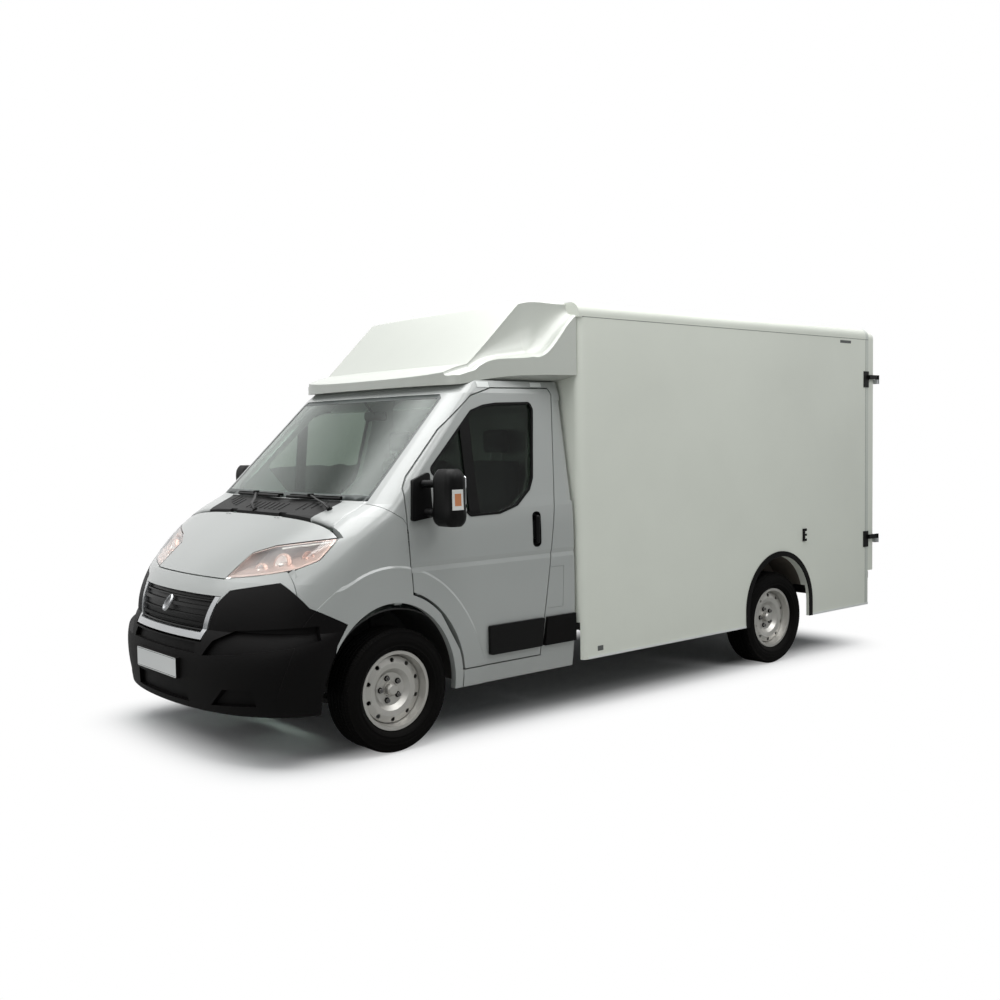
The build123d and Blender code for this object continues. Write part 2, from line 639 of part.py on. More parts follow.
def rear_arch_cut(grow, x0, x1):
    y, z = rear_arch_centre
    r = rear_arch_radius + grow
    cyl = Pos((x0 + x1) / 2, y, z) * Rot(0, 90, 0) * Cylinder(r, x1 - x0)
    return cyl + block(x0, x1, y - r, y + r, 0, z)


def make_box():
    inner_x = half_box - box_wall
    wall = block(inner_x, half_box, box_front + box_wall, box_side_end, floor_under, box_height - roof_cap_height)
    skirt = block(half_box - skirt_wall, half_box, box_front + box_wall, box_side_end, box_bottom, floor_under)
    side = wall + skirt - rear_arch_cut(0, inner_x - 10, half_box + 10)
    save("box_side_walls", pair(side))

    front = block(-half_box, half_box, box_front, box_front + box_wall, box_bottom, box_height - roof_cap_height)
    front = fillet(front.edges().filter_by(Axis.Z).group_by(Axis.Y)[0], box_wall - 5)
    front = front - block(-half_box + skirt_wall, half_box - skirt_wall, 0, 9000, 0, floor_under)
    save("box_front_wall", front)

    roof = block(-half_box, half_box, box_front, box_side_end, box_height - roof_cap_height, box_height)
    roof = fillet(roof.edges().filter_by(Axis.Y).group_by(Axis.Z)[-1], roof_corner_radius)
    roof = roof - block(-inner_x, inner_x, box_front + box_wall, box_side_end, 0, box_height - box_wall)
    save("box_roof", roof)

    floor = block(-inner_x, inner_x, box_front + box_wall, box_side_end, floor_under, load_floor_z)
    hole = rear_arch_cut(0, inner_wheel_box_x, inner_x)
    hood = rear_arch_cut(8, inner_wheel_box_x - 8, inner_x) - hole
    hood = hood - block(0, 2000, 0, 9000, 0, floor_under)
    floor = floor - hole - other_side(hole) + hood + other_side(hood)
    save("box_floor", floor)

    ring = block(-half_box, half_box, box_side_end, rear_frame_end, box_bottom, box_height)
    ring = fillet(ring.edges().filter_by(Axis.Y).group_by(Axis.Z)[-1], roof_corner_radius)
    ring = ring - block(-half_box + 90, half_box - 90, 0, 9000, load_floor_z, box_height - 110)
    ring = ring - block(-half_box + 120, half_box - 120, 0, 9000, 0, floor_under)
    save("box_rear_frame", ring)

    y, z = rear_arch_centre
    rim = rear_arch_cut(38, half_box, half_box + 8) - rear_arch_cut(0, half_box - 5, half_box + 10)
    rim = rim - block(0, 2000, 0, 9000, 0, box_bottom)
    save("arch_trims", pair(rim))


leaf_gap = 10.0
leaf_bottom = 600.0
leaf_top_gap = 25.0
rear_pin_x = half_box + 20


def make_rear_doors():
    top = box_height - leaf_top_gap
    leaf = block(leaf_gap / 2, half_box - 6, rear_frame_end + 5, leaf_rear, leaf_bottom, top)
    leaf = fillet(leaf.edges().filter_by(Axis.Y).group_by(Axis.X)[-1].group_by(Axis.Z)[-1], roof_corner_radius - 10)
    heights = (860.0, 2150.0)
    hinge, plates = None, None
    for z in heights:
        strap = block(half_box - 260, half_box - 6, leaf_rear, leaf_rear + 8, z - 35, z + 35)
        strap = strap + block(half_box - 12, rear_pin_x, leaf_rear, rear_pin_y + 4, z - 35, z - running_gap)
        strap = strap + rod((rear_pin_x, rear_pin_y, z - 35), (rear_pin_x, rear_pin_y, z - running_gap), hinge_barrel_radius)
        hinge = strap if hinge is None else hinge + strap
        plate = block(half_box, half_box + 6, box_side_end - 30, rear_frame_end, z - 64, z + 64)
        plate = plate + block(half_box, rear_pin_x + 4, rear_frame_end - 10, rear_frame_end, z, z + 35)
        plate = plate + block(rear_pin_x - 4, rear_pin_x + 4, rear_frame_end - 10, rear_pin_y, z, z + 35)
        plate = plate + rod((rear_pin_x, rear_pin_y, z), (rear_pin_x, rear_pin_y, z + 35), hinge_barrel_radius)
        plates = plate if plates is None else plates + plate
    lock_x = 160.0
    lock = rod((lock_x, leaf_rear + 20, leaf_bottom + 20), (lock_x, leaf_rear + 20, top - 20), 11)
    for z in (leaf_bottom + 60, 1000, 1500, 2000, top - 60):
        lock = lock + block(lock_x - 25, lock_x + 25, leaf_rear, leaf_rear + 24, z - 25, z + 25)
    lock = lock + block(lock_x, lock_x + 190, leaf_rear + 14, leaf_rear + 26, 1190, 1220)
    lock = lock + block(lock_x + 140, lock_x + 180, leaf_rear, leaf_rear + 20, 1180, 1230)
    save("rear_door_left", leaf)
    save("rear_door_right", other_side(leaf))
    save("rear_door_fittings_left", [hinge.solids()[0], hinge.solids()[1]] + lock.solids())
    save("rear_door_fittings_right", other_side(Compound(children=hinge.solids() + lock.solids())))
    save("rear_hinge_plates", solids_of(plates) + solids_of(other_side(plates)))


def make_box_trim():
    catch = block(half_box, half_box + 14, 3730, 3768, 905, 1000)
    save("door_catches", pair(catch))
    save("rear_bumper", block(-980, 980, rear_frame_end, rear_frame_end + 70, 400, 520)
         + block(-rail_outer_x, -rail_inner_x, rear_frame_end, rear_frame_end + 10, 420, 540)
         + block(rail_inner_x, rail_outer_x, rear_frame_end, rear_frame_end + 10, 420, 540))
    lamp = fillet(block(800, 1030, rear_frame_end, rear_frame_end + 62, 525, 592).edges(), 12)
    save("rear_lamps", pair(lamp))


# ---------------------------------------------------------------- roof fairing
fairing_wall = 8.0
lip_foot = 2046.0
roof_seat_x = 838.0
fairing_rear = box_front - running_gap
crown = box_height + 52.0
shoulder_top = crown - 56.0
front_slope = (705.0, 1100.0)
# Each station: distance behind the front axle, half width of the base flange, heights of the
# flange's foot and ledge, half width and height of the shoulder, height on the centre line.
lip_stations = [
    (470, 835, lip_foot, 2064, 760, 2086, 2090),
    (590, 850, lip_foot, 2104, 770, 2140, 2144),
    (front_slope[0], 857, 2066, 2136, 780, 2172, 2176),
]
slope_stations = [
    lip_stations[-1],
    (840, 868, 2086, 2200, 792, 2298, 2302),
    (970, 900, 2100, 2212, 797, 2424, 2430),
    (front_slope[1], 938, 2106, 2224, 800, shoulder_top - 8, shoulder_top),
]
tail_stations = [
    slope_stations[-1],
    (1170, 962, 2108, 2236, 812, shoulder_top + 8, shoulder_top + 30),
    (1270, 998, 2108, 2350, 858, shoulder_top + 6, shoulder_top + 46),
    (fairing_rear, 1034, 2108, 2478, 940, shoulder_top - 6, crown),
]


def fairing_section(y, flange, foot, ledge, shoulder, shoulder_z, top, inset):
    """Cross section with an upright base flange, a ledge and a hollow flank up to the shoulder."""
    flange, ledge, shoulder = flange - inset, ledge - inset, shoulder - inset
    shoulder_z, top, foot, seat = shoulder_z - inset, top - inset, foot + inset, min(cab_height, foot) + inset
    lip = flange - 22
    rise = shoulder_z - ledge - 3
    flank = Bezier((lip, ledge + 3), (shoulder + 0.2 * (lip - shoulder), ledge + 3 + 0.03 * rise),
                   (shoulder, ledge + 3 + 0.3 * rise), (shoulder, shoulder_z))
    roof = Bezier((shoulder, shoulder_z), (shoulder - 90, top), (0, top))
    right = [Line((roof_seat_x - 20, seat), (flange, foot)), Line((flange, foot), (flange, ledge - 6)),
             Line((flange, ledge - 6), (lip, ledge + 3)), flank.edge(), roof.edge()]
    left = [mirror(edge, Plane.YZ) for edge in right]
    floor = Line((-roof_seat_x + 20, seat), (roof_seat_x - 20, seat))
    return Plane((0, y, 0), x_dir=(1, 0, 0), z_dir=(0, -1, 0)) * make_face([floor] + right + left)


def fairing_form(inset=0.0):
    """Solid of the whole fairing, drawn in by the inset."""
    form = None
    for zone in (lip_stations[1:] if inset else lip_stations, slope_stations, tail_stations):
        part = loft([fairing_section(*s, inset) for s in zone])
        form = part if form is None else form + part
    front = [Bezier((0, 486 + inset), (520, 486 + inset), (800, 500 + inset), (856, 600 + inset)),
             Line((856, 600 + inset), (1100, 640)), Line((1100, 640), (1100, fairing_rear - inset)),
             Line((1100, fairing_rear - inset), (0, fairing_rear - inset))]
    half = extrude(make_face(front + [Line((0, fairing_rear - inset), (0, 486 + inset))]), 3000)
    return form & both_sides(half)


def make_fairing():
    """Moulded air deflector, open below and seated on the cab roof."""
    cavity = fairing_form(fairing_wall) + block(-790, 790, 640, fairing_rear - fairing_wall, cab_height, 2120)
    save("roof_fairing", fairing_form() - cavity - cab_form())


# ---------------------------------------------------------------- cab fittings
def make_cab_inside(inner):
    door_clear = cab_form(door_thickness + door_gap)
    slab = block(-1200, 1200, 470, cab_rear, cab_floor_z - 30, cab_floor_z)
    floor = (door_clear & slab) + block(-880, 880, 470, cab_rear - skin, cab_floor_z - 30, cab_floor_z)
    floor = floor + block(-530, 530, 95, 480, cab_floor_z - 30, cab_floor_z)
    rocker = (inner & block(880, 1000, 475, cab_rear - skin, 300, door_sill_z - door_gap - 4))
    rocker = rocker + block(880, 925, 475, cab_rear - skin, 300, cab_floor_z)
    floor = floor + both_sides(rocker)
    for y in (500, 1150):
        floor = floor + both_sides(block(rail_inner_x, rail_outer_x, y, y + 80, rail_top, cab_floor_z - 30))
    save("cab_floor", floor)
    dash = side_cut([(64, 1100), (330, 1000), (360, 1180), (300, 1290), (64, 1330)], 0, -895, 895)
    dash = dash & cab_form(skin + 3)
    firewall = block(-530, 530, 65, 95, cab_floor_z - 30, 1330) & cab_form(skin + 3)
    save("dashboard", dash + firewall)
    x, y, z = 400.0, 470.0, 1200.0
    tilt = Location((x, y, z), (-58, 0, 0))
    wheel = tilt * (Torus(190, 15) + Cylinder(55, 40) + Box(370, 40, 14) + Pos(0, -95, 0) * Box(40, 190, 14))
    column = rod((x, y, z), (x, 300, 1110), 26)
    save("steering_wheel", (wheel + column) - dash)
    bases, pads = [], []
    for x0, x1 in ((180, 680), (-830, -80)):
        bases.append(block(x0 + 40, x1 - 40, 620, 1080, cab_floor_z, 880))
        pads.append(block(x0, x1, 560, 1080, 880, 1010))
        pads.append(side_cut([(1080 + running_gap, 880), (1200, 880), (1270, 1600), (1180, 1600)], 0, x0, x1))
    for xc in (430, -270, -640):
        pads.append(block(xc - 130, xc + 130, 1180, 1260, 1600, 1790))
    save("seat_bases", bases)
    save("seats", pads)


def mirror_section(z, x0, x1, y0, y1, radius):
    """Level section of the mirror housing."""
    return Pos((x0 + x1) / 2, (y0 + y1) / 2, z) * RectangleRounded(x1 - x0, y1 - y0, radius)


def make_mirror():
    """Tall mirror housing carried on two arms from the sail plate at the window's front corner."""
    head = loft([mirror_section(1245, 1092, 1236, 218, 300, 34), mirror_section(1262, 1076, 1248, 200, 318, 44),
                 mirror_section(1400, 1070, 1252, 192, 326, 50), mirror_section(1520, 1074, 1248, 196, 322, 46),
                 mirror_section(1560, 1098, 1226, 220, 296, 34)])
    glass_recess = block(1088, 1238, 322, 340, 1268, 1528)
    arms = rod((1000, 205, 1318), (1110, 240, 1318), 22) + rod((1000, 205, 1478), (1110, 240, 1478), 22)
    arms = arms + rod((1084, 236, 1300), (1084, 236, 1500), 20)
    sail = side_cut([(104, 1272), (250, 1290), (262, 1545), (140, 1500)], 0, 960, 1040, corner=14)
    sail = (sail & cab_form(-20)) - cab_form()
    return ((head - glass_recess) + arms + sail) - cab_form()


def make_outside_fittings():
    blades = [rod((120, -158, 1398), (640, -110, 1398), 9), rod((-560, -119, 1398), (20, -157, 1398), 9)]
    save("wipers", [blade - cab_form(glass_inset - running_gap) for blade in blades])
    strip = side_cut([(650, 455), (1058, 455), (1080, 628), (643, 628)], 0, 1000, 1034, corner=10) - flared_form()
    opening = side_cut(window_side, -running_gap, corner=window_corner)
    seal = (opening - side_cut(window_side, -seal_width, corner=window_corner - seal_width)) & layer(-2, 15 - running_gap)
    bar = opening & layer(2, 15 - running_gap) & block(0, 1300, *window_bar, 0, 3000)
    trim = (seal & block(0, 1300, 0, 2000, 0, 3000)) + bar
    pocket = handle_pocket(-running_gap)
    dish = (pocket - handle_pocket(-running_gap - dish_wall)) & cab_form(1)
    grip_y = (handle_front + handle_rear) / 2
    grip = fillet(block(1000, 1030, grip_y - 14, grip_y + 14, handle_z[0] + 22, handle_z[1] - 22).edges(), 10)
    grip = grip - block(900, 1012, 0, 2000, handle_z[0] + 50, handle_z[1] - 50)
    feet = block(986, 1016, grip_y - 10, grip_y + 10, handle_z[0] + 24, handle_z[0] + 50) \
        + block(986, 1016, grip_y - 10, grip_y + 10, handle_z[1] - 50, handle_z[1] - 24)
    handle = dish + (feet & pocket) + grip
    for name, flip in (("left", False), ("right", True)):
        items = solids_of(make_mirror()) + solids_of(trim) + solids_of(strip) + solids_of(handle)
        save(f"door_fittings_{name}", [other_side(s) for s in items] if flip else items)
    body_strip = side_cut([(1082, 455), (1345, 455), (1345, 628), (1104, 628)], 0, 1000, 1034) - cab_form()
    save("body_rub_strips", pair(body_strip))


inner_form = make_cab()
make_wheels()
knuckle = make_knuckle()
save("knuckle_left", knuckle)
save("knuckle_right", other_side(knuckle))
save("front_suspension", make_front_suspension())
save("chassis_frame", make_chassis())
save("wheel_housings", pair(make_wheelhouse()))
save("rear_axle", make_rear_axle())
save("leaf_springs", pair(make_leaf_spring()))
make_under_parts()
make_box()
make_rear_doors()
make_box_trim()
make_fairing()
make_cab_inside(inner_form)
make_outside_fittings()
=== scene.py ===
"""Finishes, fittings and studio for a light box van with a hinged load body."""

from __future__ import annotations

import json
import logging
import math
from collections.abc import Callable, Sequence
from dataclasses import dataclass
from enum import Enum

import bmesh
import bpy
from mathutils import Matrix, Vector
from mathutils.bvhtree import BVHTree

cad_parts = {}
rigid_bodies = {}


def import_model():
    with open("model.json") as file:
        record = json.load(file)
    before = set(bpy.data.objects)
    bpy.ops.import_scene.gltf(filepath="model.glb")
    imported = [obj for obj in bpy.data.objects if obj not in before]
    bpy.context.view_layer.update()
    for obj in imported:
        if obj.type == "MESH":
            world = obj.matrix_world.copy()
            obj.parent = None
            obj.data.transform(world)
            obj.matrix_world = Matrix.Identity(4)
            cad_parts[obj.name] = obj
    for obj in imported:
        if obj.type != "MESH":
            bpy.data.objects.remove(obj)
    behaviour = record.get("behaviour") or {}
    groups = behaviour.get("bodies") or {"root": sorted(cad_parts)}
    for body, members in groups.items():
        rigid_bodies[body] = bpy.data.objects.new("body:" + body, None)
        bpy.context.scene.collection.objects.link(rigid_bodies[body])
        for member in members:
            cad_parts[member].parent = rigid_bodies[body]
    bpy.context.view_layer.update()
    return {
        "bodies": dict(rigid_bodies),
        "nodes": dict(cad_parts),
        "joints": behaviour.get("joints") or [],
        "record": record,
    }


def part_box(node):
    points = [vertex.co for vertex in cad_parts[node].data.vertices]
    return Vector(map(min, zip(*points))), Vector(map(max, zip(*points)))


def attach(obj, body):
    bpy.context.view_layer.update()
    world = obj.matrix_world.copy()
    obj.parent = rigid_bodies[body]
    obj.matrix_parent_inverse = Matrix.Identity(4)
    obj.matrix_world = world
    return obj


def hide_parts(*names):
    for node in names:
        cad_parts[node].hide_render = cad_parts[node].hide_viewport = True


Socket = bpy.types.NodeSocket
Colour = tuple[float, float, float]
Pair = tuple[float, float]
Point = Sequence[float]
Profile = Sequence[Pair]
Ray = Callable[[float, float], tuple[Vector, Vector]]

TONE_SCALE = 1.3
ROUGHNESS_RANGE = (0.92, 1.1)
DUST_COLOUR = (0.30, 0.27, 0.23)
FULL_DUST = 0.6
DUSTY_ROUGHNESS = 0.85
GLASS_DRIFT = 0.96
GLASS_TONE_SCALE = 2.0
MERGE_DISTANCE = 1e-6
SEAM_DISTANCE = 1e-5
THINNEST = 1e-5
ALONG_AXIS = 0.99
SHARP_TURN = 0.8
FRONT_START = -4.0
FRONT_REACH = 6.0

log = logging.getLogger("box_van")


# ---------------------------------------------------------------- shader trees
class Tree:
    """Short calls for building one shader tree or group tree."""

    def __init__(self, tree: bpy.types.NodeTree) -> None:
        """Keeps the tree that the calls add to."""
        self.tree = tree

    def node(self, kind: str, **settings: object) -> bpy.types.Node:
        """Adds a node of a kind, sets its properties by name and returns it."""
        made = self.tree.nodes.new(kind)
        for name, value in settings.items():
            setattr(made, name, value)
        return made

    def link(self, source: Socket, target: Socket) -> None:
        """Joins two sockets."""
        self.tree.links.new(source, target)

    def feed(self, target: Socket, value: object) -> None:
        """Links a socket to the target, or sets a plain value on it."""
        if isinstance(value, Socket):
            self.link(value, target)
        else:
            target.default_value = value

    @staticmethod
    def preset(node: bpy.types.Node, values: dict[str, object]) -> None:
        """Sets plain input values by name."""
        for label, value in values.items():
            node.inputs[label].default_value = value

    def split(self, coordinate: str) -> bpy.types.NodeOutputs:
        """Separates a kind of texture coordinate into its X, Y and Z."""
        made = self.node("ShaderNodeSeparateXYZ")
        self.link(self.node("ShaderNodeTexCoord").outputs[coordinate], made.inputs[0])
        return made.outputs

    def choose(self, factor: Socket, first: Socket,
               second: Socket) -> Socket:
        """Mixes two shaders by a factor and returns the result."""
        made = self.node("ShaderNodeMixShader")
        for socket, given in zip(made.inputs, (factor, first, second)):
            self.link(given, socket)
        return made.outputs[0]

    def math(self, operation: str, first: object, second: object = 0.0) -> Socket:
        """Adds a Math node on two sockets or numbers and returns its result."""
        made = self.node("ShaderNodeMath", operation=operation)
        self.feed(made.inputs[0], first)
        self.feed(made.inputs[1], second)
        return made.outputs[0]

    def noise(self, position: Socket, scale: object, detail: float) -> Socket:
        """Adds a noise texture and returns its factor."""
        made = self.node("ShaderNodeTexNoise")
        self.link(position, made.inputs["Vector"])
        self.feed(made.inputs["Scale"], scale)
        made.inputs["Detail"].default_value = detail
        return made.outputs["Fac"]

    def spread(self, value: object, low: object, high: object, start: object = 0.0,
               end: object = 1.0, curve: str = "LINEAR") -> Socket:
        """Maps a value from one range to another, clamped.

        Args:
            value: what is mapped.
            low: value that gives start.
            high: value that gives end.
            start: result at low.
            end: result at high.
            curve: how the result runs between them.

        Returns:
            The mapped socket.
        """
        made = self.node("ShaderNodeMapRange", clamp=True, interpolation_type=curve)
        for name, given in (("Value", value), ("From Min", low), ("From Max", high), ("To Min", start),
                            ("To Max", end)):
            self.feed(made.inputs[name], given)
        return made.outputs[0]

    def mix(self, factor: object, first: object, second: object) -> Socket:
        """Mixes two colours and returns the result."""
        made = self.node("ShaderNodeMix", data_type="RGBA")
        self.feed(made.inputs["Factor"], factor)
        self.feed(made.inputs[6], first if isinstance(first, Socket) else (*first, 1.0))
        self.feed(made.inputs[7], second if isinstance(second, Socket) else (*second, 1.0))
        return made.outputs[2]


def new_material(name: str) -> tuple[bpy.types.Material, Tree, bpy.types.Node]:
    """Starts a material and returns it with its tree and its Principled shader."""
    material = bpy.data.materials.new(name)
    material.use_nodes = True
    return material, Tree(material.node_tree), material.node_tree.nodes["Principled BSDF"]


class Effect(Enum):
    """Surface effects that several finishes share."""

    ROAD_DUST = "road_dust"
    MOULDED_GRAIN = "moulded_grain"
    SPRAY_TEXTURE = "spray_texture"
    TONE_DRIFT = "tone_drift"
    EDGE_RUB = "edge_rub"


class EffectLibrary:
    """Shader groups for the shared effects, each built once.

    Noises are given as scale and detail, ranges as low, high, start and end.
    """

    patch_noise, patch_range = (5.0, 5.0), (0.35, 0.75, 0.35, 1.0)
    speck_noise, speck_range = (160.0, 2.0), (0.4, 0.7, 0.7, 1.0)
    fine_noise, fine_share = (2600.0, 1.0), 0.35
    peel_scale, peel_detail, wave_noise = 220.0, 2.0, (3.0, 1.0)
    drift_detail, drift_range = 3.0, (0.3, 0.7)
    rub_noise, rub_range = (60.0, 4.0), (0.42, 0.6)
    edge_turn = (0.97, 0.75)

    def __init__(self) -> None:
        """Builds every group."""
        builders = {
            Effect.ROAD_DUST: self._road_dust,
            Effect.MOULDED_GRAIN: self._moulded_grain,
            Effect.SPRAY_TEXTURE: self._spray_texture,
            Effect.TONE_DRIFT: self._tone_drift,
            Effect.EDGE_RUB: self._edge_rub,
        }
        self.groups = {effect: build(effect.value) for effect, build in builders.items()}

    @staticmethod
    def _start(name: str, inputs: dict[str, float], output: str) -> tuple[Tree, object, object, object]:
        """Makes an empty group with its sockets and object coordinates.

        Args:
            name: group name.
            inputs: input names with their defaults.
            output: name of the one output.

        Returns:
            The tree, its group input, its group output and the coordinate socket.
        """
        group = bpy.data.node_groups.new(name, "ShaderNodeTree")
        for label, value in inputs.items():
            socket = group.interface.new_socket(label, in_out="INPUT", socket_type="NodeSocketFloat")
            socket.default_value = value
        group.interface.new_socket(output, in_out="OUTPUT", socket_type="NodeSocketFloat")
        tree = Tree(group)
        source = tree.node("NodeGroupInput")
        target = tree.node("NodeGroupOutput")
        place = tree.node("ShaderNodeTexCoord").outputs["Object"]
        return tree, source, target, place

    def _road_dust(self, name: str) -> bpy.types.NodeTree:
        """Dust that thins out with height above the road."""
        tree, source, target, place = self._start(name, {"Top": 0.9, "Amount": 0.3}, "Mask")
        height = tree.node("ShaderNodeSeparateXYZ")
        tree.link(place, height.inputs[0])
        fall = tree.spread(height.outputs["Z"], 0.0, source.outputs["Top"], 1.0, 0.0)
        patch = tree.spread(tree.noise(place, *self.patch_noise), *self.patch_range)
        speck = tree.spread(tree.noise(place, *self.speck_noise), *self.speck_range)
        mask = tree.math("MULTIPLY", tree.math("MULTIPLY", tree.math("MULTIPLY", fall, fall), patch), speck)
        tree.link(tree.math("MULTIPLY", mask, source.outputs["Amount"]), target.inputs["Mask"])
        return tree.tree

    def _moulded_grain(self, name: str) -> bpy.types.NodeTree:
        """Leathery grain of unpainted plastic mouldings."""
        tree, source, target, place = self._start(name, {"Scale": 900.0}, "Height")
        cells = tree.node("ShaderNodeTexVoronoi", feature="SMOOTH_F1")
        tree.link(place, cells.inputs["Vector"])
        tree.link(source.outputs["Scale"], cells.inputs["Scale"])
        fine = tree.math("MULTIPLY", tree.noise(place, *self.fine_noise), self.fine_share)
        tree.link(tree.math("ADD", cells.outputs["Distance"], fine), target.inputs["Height"])
        return tree.tree

    def _spray_texture(self, name: str) -> bpy.types.NodeTree:
        """Faint orange peel of sprayed and rolled surfaces."""
        tree, source, target, place = self._start(name, {"Scale": self.peel_scale, "Waviness": 0.4}, "Height")
        peel = tree.noise(place, source.outputs["Scale"], self.peel_detail)
        wave = tree.math("MULTIPLY", tree.noise(place, *self.wave_noise), source.outputs["Waviness"])
        tree.link(tree.math("ADD", peel, wave), target.inputs["Height"])
        return tree.tree

    def _tone_drift(self, name: str) -> bpy.types.NodeTree:
        """Slow change of tone over a large surface."""
        tree, source, target, place = self._start(name, {"Scale": TONE_SCALE}, "Mask")
        slow = tree.noise(place, source.outputs["Scale"], self.drift_detail)
        tree.link(tree.spread(slow, *self.drift_range), target.inputs["Mask"])
        return tree.tree

    def _edge_rub(self, name: str) -> bpy.types.NodeTree:
        """Rubbed outer edges, from the turn of the normal near an edge."""
        tree, source, target, place = self._start(name, {"Reach": 0.003}, "Mask")
        bevel = tree.node("ShaderNodeBevel", samples=4)
        tree.link(source.outputs["Reach"], bevel.inputs["Radius"])
        shape = tree.node("ShaderNodeNewGeometry")
        dot = tree.node("ShaderNodeVectorMath", operation="DOT_PRODUCT")
        tree.link(bevel.outputs["Normal"], dot.inputs[0])
        tree.link(shape.outputs["Normal"], dot.inputs[1])
        turn = tree.spread(dot.outputs["Value"], *self.edge_turn)
        broken = tree.spread(tree.noise(place, *self.rub_noise), *self.rub_range)
        tree.link(tree.math("MULTIPLY", turn, broken), target.inputs["Mask"])
        return tree.tree

    def place(self, tree: Tree, effect: Effect, **values: float) -> Socket:
        """Adds an effect group to a material, with its input values by name, and returns its output."""
        made = tree.node("ShaderNodeGroup", node_tree=self.groups[effect])
        for label, value in values.items():
            made.inputs[label].default_value = value
        return made.outputs[0]


class Relief(Enum):
    """Fine relief that a finish carries."""

    NONE = "none"
    GRAIN = "grain"
    SPRAY = "spray"
    CLOTH = "cloth"


@dataclass(frozen=True)
class Finish:
    """An opaque surface finish.

    Attributes hold plain shader values; drift, dust and rub are 0 where the effect is absent.
    """

    name: str
    colour: Colour
    roughness: float = 0.5
    metallic: float = 0.0
    coat: float = 0.0
    coat_roughness: float = 0.04
    sheen: float = 0.0
    specular: float = 0.5
    relief: Relief = Relief.NONE
    relief_scale: float = 900.0
    relief_depth: float = 0.0002
    drift: float = 0.05
    dust: float = 0.0
    dust_top: float = 1.0
    rub: float = 0.0
    rub_colour: Colour = (0.3, 0.3, 0.3)

    def build(self, effects: EffectLibrary) -> bpy.types.Material:
        """Makes the material from the shared effects."""
        material, tree, shader = new_material(self.name)
        tree.preset(shader, {"Metallic": self.metallic, "Coat Weight": self.coat,
                             "Coat Roughness": self.coat_roughness, "Sheen Weight": self.sheen,
                             "Specular IOR Level": self.specular})
        tone = effects.place(tree, Effect.TONE_DRIFT, Scale=TONE_SCALE)
        darker = tuple(channel * (1.0 - self.drift) for channel in self.colour)
        colour = tree.mix(tone, self.colour, darker)
        smoother, rougher = (self.roughness * share for share in ROUGHNESS_RANGE)
        rough = tree.spread(tone, 0.0, 1.0, smoother, min(1.0, rougher))
        if self.rub > 0:
            mask = tree.math("MULTIPLY", effects.place(tree, Effect.EDGE_RUB), self.rub)
            colour = tree.mix(mask, colour, self.rub_colour)
        if self.dust > 0:
            mask = effects.place(tree, Effect.ROAD_DUST, Top=self.dust_top, Amount=self.dust)
            colour = tree.mix(mask, colour, DUST_COLOUR)
            rough = tree.spread(mask, 0.0, FULL_DUST, rough, DUSTY_ROUGHNESS)
        tree.link(colour, shader.inputs["Base Color"])
        tree.link(rough, shader.inputs["Roughness"])
        self._add_relief(tree, shader, effects)
        return material

    def _add_relief(self, tree: Tree, shader: bpy.types.Node, effects: EffectLibrary) -> None:
        """Feeds the shader's normal from the finish's relief."""
        if self.relief is Relief.NONE:
            return
        if self.relief is Relief.GRAIN:
            height = effects.place(tree, Effect.MOULDED_GRAIN, Scale=self.relief_scale)
        elif self.relief is Relief.SPRAY:
            height = effects.place(tree, Effect.SPRAY_TEXTURE, Scale=self.relief_scale)
        else:
            place = tree.split("Object")
            warp = tree.math("SINE", tree.math("MULTIPLY", place["X"], self.relief_scale))
            fill = tree.math("SINE", tree.math("MULTIPLY", tree.math("ADD", place["Z"], place["Y"]),
                                               self.relief_scale))
            height = tree.math("MULTIPLY", warp, fill)
        bump = tree.node("ShaderNodeBump")
        tree.preset(bump, {"Strength": 1.0, "Distance": self.relief_depth})
        tree.link(height, bump.inputs["Height"])
        tree.link(bump.outputs["Normal"], shader.inputs["Normal"])


@dataclass(frozen=True)
class GlassFinish:
    """A see-through finish whose shadow is as pale as its tint."""

    name: str
    tint: Colour
    ior: float = 1.45

    def build(self, effects: EffectLibrary) -> bpy.types.Material:
        """Makes the material, its tint drifting a little by the shared effect."""
        material, tree, shader = new_material(self.name)
        tree.preset(shader, {"Transmission Weight": 1.0, "Roughness": 0.0, "IOR": self.ior})
        tone = effects.place(tree, Effect.TONE_DRIFT, Scale=GLASS_TONE_SCALE)
        darker = tuple(channel * GLASS_DRIFT for channel in self.tint)
        tree.link(tree.mix(tone, self.tint, darker), shader.inputs["Base Color"])
        clear = tree.node("ShaderNodeBsdfTransparent")
        tree.preset(clear, {"Color": (*self.tint, 1.0)})
        shadow_ray = tree.node("ShaderNodeLightPath").outputs["Is Shadow Ray"]
        tree.link(tree.choose(shadow_ray, shader.outputs[0], clear.outputs[0]),
                  material.node_tree.nodes["Material Output"].inputs["Surface"])
        return material


